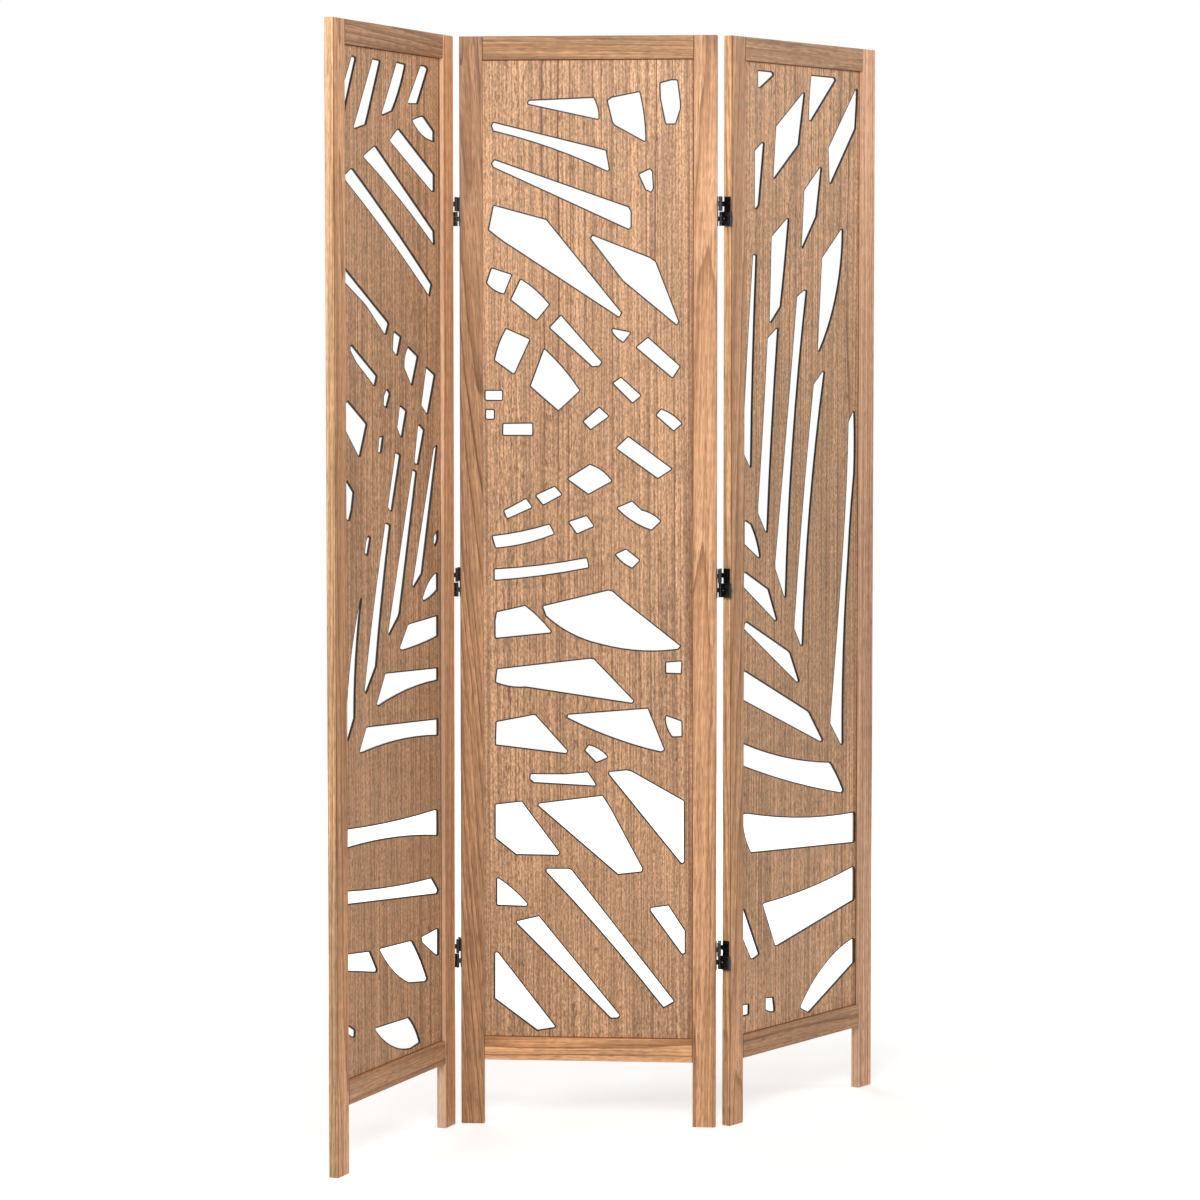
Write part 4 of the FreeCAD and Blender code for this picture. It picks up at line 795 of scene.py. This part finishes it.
def screw_tree():
    """Countersunk screws with raised heads and cross recesses, their seats at the points."""
    tree, given = new_geometry_tree("Countersunk screws", (*SCREW_SIZES, "Length"))
    head = add(tree, "ShaderNodeMath", {0: given["Head diameter"], 1: 0.5}, operation="MULTIPLY")
    crown = add(tree, "ShaderNodeMath", {0: head, 1: CROWN_SHARE}, operation="MULTIPLY")
    shank = add(tree, "ShaderNodeMath", {0: given["Shank diameter"], 1: 0.5}, operation="MULTIPLY")
    tip = add(tree, "ShaderNodeMath", {0: shank, 1: TIP_SHARE}, operation="MULTIPLY")
    seat = add(tree, "ShaderNodeMath", {0: given["Head height"], 1: -1.0}, operation="MULTIPLY")
    foot = add(tree, "ShaderNodeMath", {0: given["Length"], 1: -1.0}, operation="MULTIPLY")
    point_top = add(tree, "ShaderNodeMath", {0: foot, 1: given["Point length"]}, operation="ADD")
    shank_length = add(tree, "ShaderNodeMath", {0: seat, 1: point_top}, operation="SUBTRACT")
    parts = [
        frustum(tree, head, crown, given["Head rise"], 0.0),
        frustum(tree, shank, head, given["Head height"], seat),
        frustum(tree, shank, shank, shank_length, point_top),
        frustum(tree, tip, shank, given["Point length"], foot),
    ]
    whole = add(tree, "GeometryNodeMeshBoolean", {"Mesh 2": parts}, operation="UNION", solver="EXACT")
    depth = add(tree, "ShaderNodeMath", {0: given["Recess depth"], 1: 2.0}, operation="MULTIPLY")
    lift = add(tree, "ShaderNodeCombineXYZ", {2: given["Head rise"]})
    slots = []
    for across, along in (("Recess length", "Recess width"), ("Recess width", "Recess length")):
        size = add(tree, "ShaderNodeCombineXYZ", {0: given[across], 1: given[along], 2: depth})
        slot = add(tree, "GeometryNodeMeshCube", {"Size": size})
        slots.append(add(tree, "GeometryNodeTransform", {"Geometry": slot, "Translation": lift}))
    cut = add(tree, "GeometryNodeMeshBoolean", {"Mesh 1": whole, "Mesh 2": slots},
              operation="DIFFERENCE", solver="EXACT")
    place_copies(tree, given, cut)
    return tree


def pin_tree():
    """Hinge pins with chamfered ends, their feet at the points."""
    tree, given = new_geometry_tree("Hinge pins", ("Pin diameter", "Pin length", "Chamfer"))
    radius = add(tree, "ShaderNodeMath", {0: given["Pin diameter"], 1: 0.5}, operation="MULTIPLY")
    end = add(tree, "ShaderNodeMath", {0: radius, 1: given["Chamfer"]}, operation="SUBTRACT")
    top = add(tree, "ShaderNodeMath", {0: given["Pin length"], 1: given["Chamfer"]},
              operation="SUBTRACT")
    middle = add(tree, "ShaderNodeMath", {0: top, 1: given["Chamfer"]}, operation="SUBTRACT")
    parts = [
        frustum(tree, end, radius, given["Chamfer"], 0.0),
        frustum(tree, radius, radius, middle, given["Chamfer"]),
        frustum(tree, radius, end, given["Chamfer"], top),
    ]
    whole = add(tree, "GeometryNodeMeshBoolean", {"Mesh 2": parts}, operation="UNION", solver="EXACT")
    place_copies(tree, given, whole)
    return tree


def grown(node, tree, points, sizes, material):
    """Plain mesh that a geometry tree makes on points, standing for a node."""
    name = f"finished_{node}"
    source = new_object(name, points)
    modifier = source.modifiers.new("Pieces", "NODES")
    modifier.node_group = tree
    given = {**sizes, "Finish": material}
    for item in tree.interface.items_tree:
        if item.in_out == "INPUT" and item.name in given:
            modifier[item.identifier] = given[item.name]
    made = source.evaluated_get(bpy.context.evaluated_depsgraph_get())
    mesh = bpy.data.meshes.new_from_object(made)
    source.modifiers.remove(modifier)
    source.data = mesh
    bpy.data.meshes.remove(points)
    mesh.name = name
    if not mesh.polygons:
        raise RuntimeError(f"{tree.name} made nothing for {node}")
    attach(source, body_of(node))
    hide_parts(node)


def make_screws(node, tree, look, material):
    """Hinge screws of a panel, each driven into the edge where the frame has it."""
    turn = panel_turn(panel_of(node))
    left = board_box(f"{panel_of(node)}_left_stile", turn)[0][0]
    right = board_box(f"{panel_of(node)}_right_stile", turn)[1][0]
    panel_middle = (left + right) / 2
    places = []
    turns = []
    screw_length = 0
    bm = merged(node)
    for group in islands(bm):
        low, high = local_box(turn, group)
        screw_length = high[0] - low[0]
        outward = 1 if low[0] > panel_middle else -1
        seat = (low + high) / 2
        seat[0] = high[0] if outward > 0 else low[0]
        places.append(turn.inverted() @ seat)
        upright = Matrix.Rotation(outward * math.pi / 2, 3, "Y")
        spin = Matrix.Rotation(SCREW_SPIN * len(places), 3, "Z")
        turns.append((turn.inverted() @ upright @ spin).to_euler("XYZ"))
    bm.free()
    sizes = {size: getattr(look, size.lower().replace(" ", "_")) for size in SCREW_SIZES}
    sizes["Length"] = screw_length
    grown(node, tree, point_cloud("screw seats", places, turns), sizes, material)


def make_pins(node, tree, look, material):
    """Hinge pins of a panel, each where the frame has it."""
    bm = merged(node)
    upright = Matrix.Identity(3)
    places = []
    pin_length = 0
    for group in islands(bm):
        low, high = local_box(upright, group)
        pin_length = high[2] - low[2]
        places.append(Vector(((low[0] + high[0]) / 2, (low[1] + high[1]) / 2, low[2])))
    bm.free()
    sizes = {"Pin diameter": look.pin_diameter, "Pin length": pin_length, "Chamfer": look.pin_chamfer}
    grown(node, tree, point_cloud("pin feet", places, [(0, 0, 0)] * len(places)), sizes, material)


# Stage


def hang_lamp(name, lamp, watts):
    """Large soft lamp that shines at a point."""
    light = bpy.data.lights.new(name, "AREA")
    light.shape = "RECTANGLE"
    light.size, light.size_y = lamp.size
    light.energy = watts
    holder = new_object(name, light)
    holder.location = lamp.place
    holder.rotation_euler = (Vector(lamp.aim) - Vector(lamp.place)).to_track_quat("-Z", "Y").to_euler()


def light_world(look):
    """Even light from all round; what the camera sees behind the screen is white."""
    world = bpy.data.worlds.new("Studio")
    world.use_nodes = True
    tree = world.node_tree
    tree.nodes.clear()
    strength = add(tree, "ShaderNodeMapRange", {"Value": seen_directly(tree), "To Min": look.sky,
                                                "To Max": 1.0})
    white = add(tree, "ShaderNodeBackground", {"Color": (1, 1, 1, 1), "Strength": strength})
    add(tree, "ShaderNodeOutputWorld", {"Surface": white})
    bpy.context.scene.world = world


def make_camera(look):
    """Camera at the photograph's place, found from the corners of the panels."""
    camera = bpy.data.cameras.new("Camera")
    camera.lens = look.lens
    camera.sensor_width = SENSOR_WIDTH
    camera.shift_y = CAMERA_SHIFT
    camera.clip_end = CAMERA_REACH
    holder = new_object("Camera", camera)
    holder.location = CAMERA_PLACE
    holder.rotation_euler = Euler((math.pi / 2 - CAMERA_TILT, 0, CAMERA_TURN))
    bpy.context.scene.camera = holder


class JALI_OT_stage(bpy.types.Operator):
    """Lay the floor, hang the lamps and set up the camera"""

    bl_idname = "jali.stage"
    bl_label = "Floor, light and camera"

    def execute(self, context):
        look = context.scene.jali_stage
        half = look.floor_size / 2
        mesh = bpy.data.meshes.new("floor")
        mesh.from_pydata([(-half, -half, 0), (half, -half, 0), (half, half, 0), (-half, half, 0)], [],
                         [(0, 1, 2, 3)])
        mesh.materials.append(pale_floor("matt floor paint", look))
        floor = new_object("floor", mesh)
        light_world(look)
        for name, lamp in LAMPS.items():
            hang_lamp(name, lamp, getattr(look, lamp.power))
        make_camera(look)
        context.scene.view_settings.view_transform = "Standard"
        return {"FINISHED"}


class JALI_OT_timber(bpy.types.Operator):
    """Make the stiles and rails of the three frames"""

    bl_idname = "jali.timber"
    bl_label = "Stiles and rails"

    def execute(self, context):
        look = context.scene.jali_timber
        wood = stained_wood("stained paulownia boards", look, BOARD_GRAIN)
        for panel in PANELS:
            for board in ("left_stile", "right_stile", "top_rail", "bottom_rail"):
                make_board(f"{panel}_{board}", look, wood)
        return {"FINISHED"}


class JALI_OT_frets(bpy.types.Operator):
    """Make the three carved sheets"""

    bl_idname = "jali.frets"
    bl_label = "Carved sheets"

    def execute(self, context):
        look = context.scene.jali_fret
        veneer = stained_wood("stained paulownia veneer, laser cut", look, VENEER_GRAIN)
        for panel in PANELS:
            make_fret(f"{panel}_fret", look, veneer)
        return {"FINISHED"}


class JALI_OT_hinges(bpy.types.Operator):
    """Make the leaves and straps of the six hinges"""

    bl_idname = "jali.hinges"
    bl_label = "Hinges"

    def execute(self, context):
        look = context.scene.jali_hinge
        enamel = baked_enamel("baked black enamel", look)
        for side in SIDES:
            for height in HINGE_HEIGHTS:
                for part in HINGE_PARTS:
                    make_hinge_part(f"{side}_hinge_{height}_{part}", look, enamel)
        return {"FINISHED"}


class JALI_OT_fixings(bpy.types.Operator):
    """Make the hinge screws and hinge pins, and finish the dowels"""

    bl_idname = "jali.fixings"
    bl_label = "Screws, pins and dowels"

    def execute(self, context):
        look = context.scene.jali_fixing
        blackened = worked_steel("blackened screw steel", look.screw_steel, look.roughness)
        oiled = worked_steel("oiled pin steel", look.pin_steel, look.roughness)
        beech = turned_beech("turned beech", look.beech)
        screws = screw_tree()
        pins = pin_tree()
        for panel in PANELS:
            make_screws(f"{panel}_hinge_screws", screws, look, blackened)
            make_pins(f"{panel}_hinge_pins", pins, look, oiled)
            dowels = frame["nodes"][f"{panel}_dowels"]
            for place in dowels.material_slots:
                place.material = beech
        return {"FINISHED"}


class JALI_PT_screen(bpy.types.Panel):
    """Sizes, colours and steps of the screen"""

    bl_idname = "JALI_PT_screen"
    bl_label = "Carved jali screen"
    bl_space_type = "VIEW_3D"
    bl_region_type = "UI"
    bl_category = "Jali"

    def draw(self, context):
        for group, operator in STEPS:
            settings = getattr(context.scene, group)
            box = self.layout.box()
            box.operator(operator.bl_idname)
            for name in settings.__annotations__:
                box.prop(settings, name)


GROUPS = {
    "jali_stage": StageSettings,
    "jali_timber": TimberSettings,
    "jali_fret": FretSettings,
    "jali_hinge": HingeSettings,
    "jali_fixing": FixingSettings,
}
STEPS = (
    ("jali_stage", JALI_OT_stage),
    ("jali_timber", JALI_OT_timber),
    ("jali_fret", JALI_OT_frets),
    ("jali_hinge", JALI_OT_hinges),
    ("jali_fixing", JALI_OT_fixings),
)
CLASSES = (*GROUPS.values(), *(operator for _, operator in STEPS), JALI_PT_screen)


def register():
    for cls in CLASSES:
        bpy.utils.register_class(cls)
    for name, group in GROUPS.items():
        setattr(bpy.types.Scene, name, PointerProperty(type=group))


def unregister():
    for name in GROUPS:
        delattr(bpy.types.Scene, name)
    for cls in reversed(CLASSES):
        bpy.utils.unregister_class(cls)


def main():
    register()
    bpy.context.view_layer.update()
    bpy.ops.jali.stage()
    bpy.ops.jali.timber()
    bpy.ops.jali.frets()
    bpy.ops.jali.hinges()
    bpy.ops.jali.fixings()


if __name__ == "__main__":
    main()
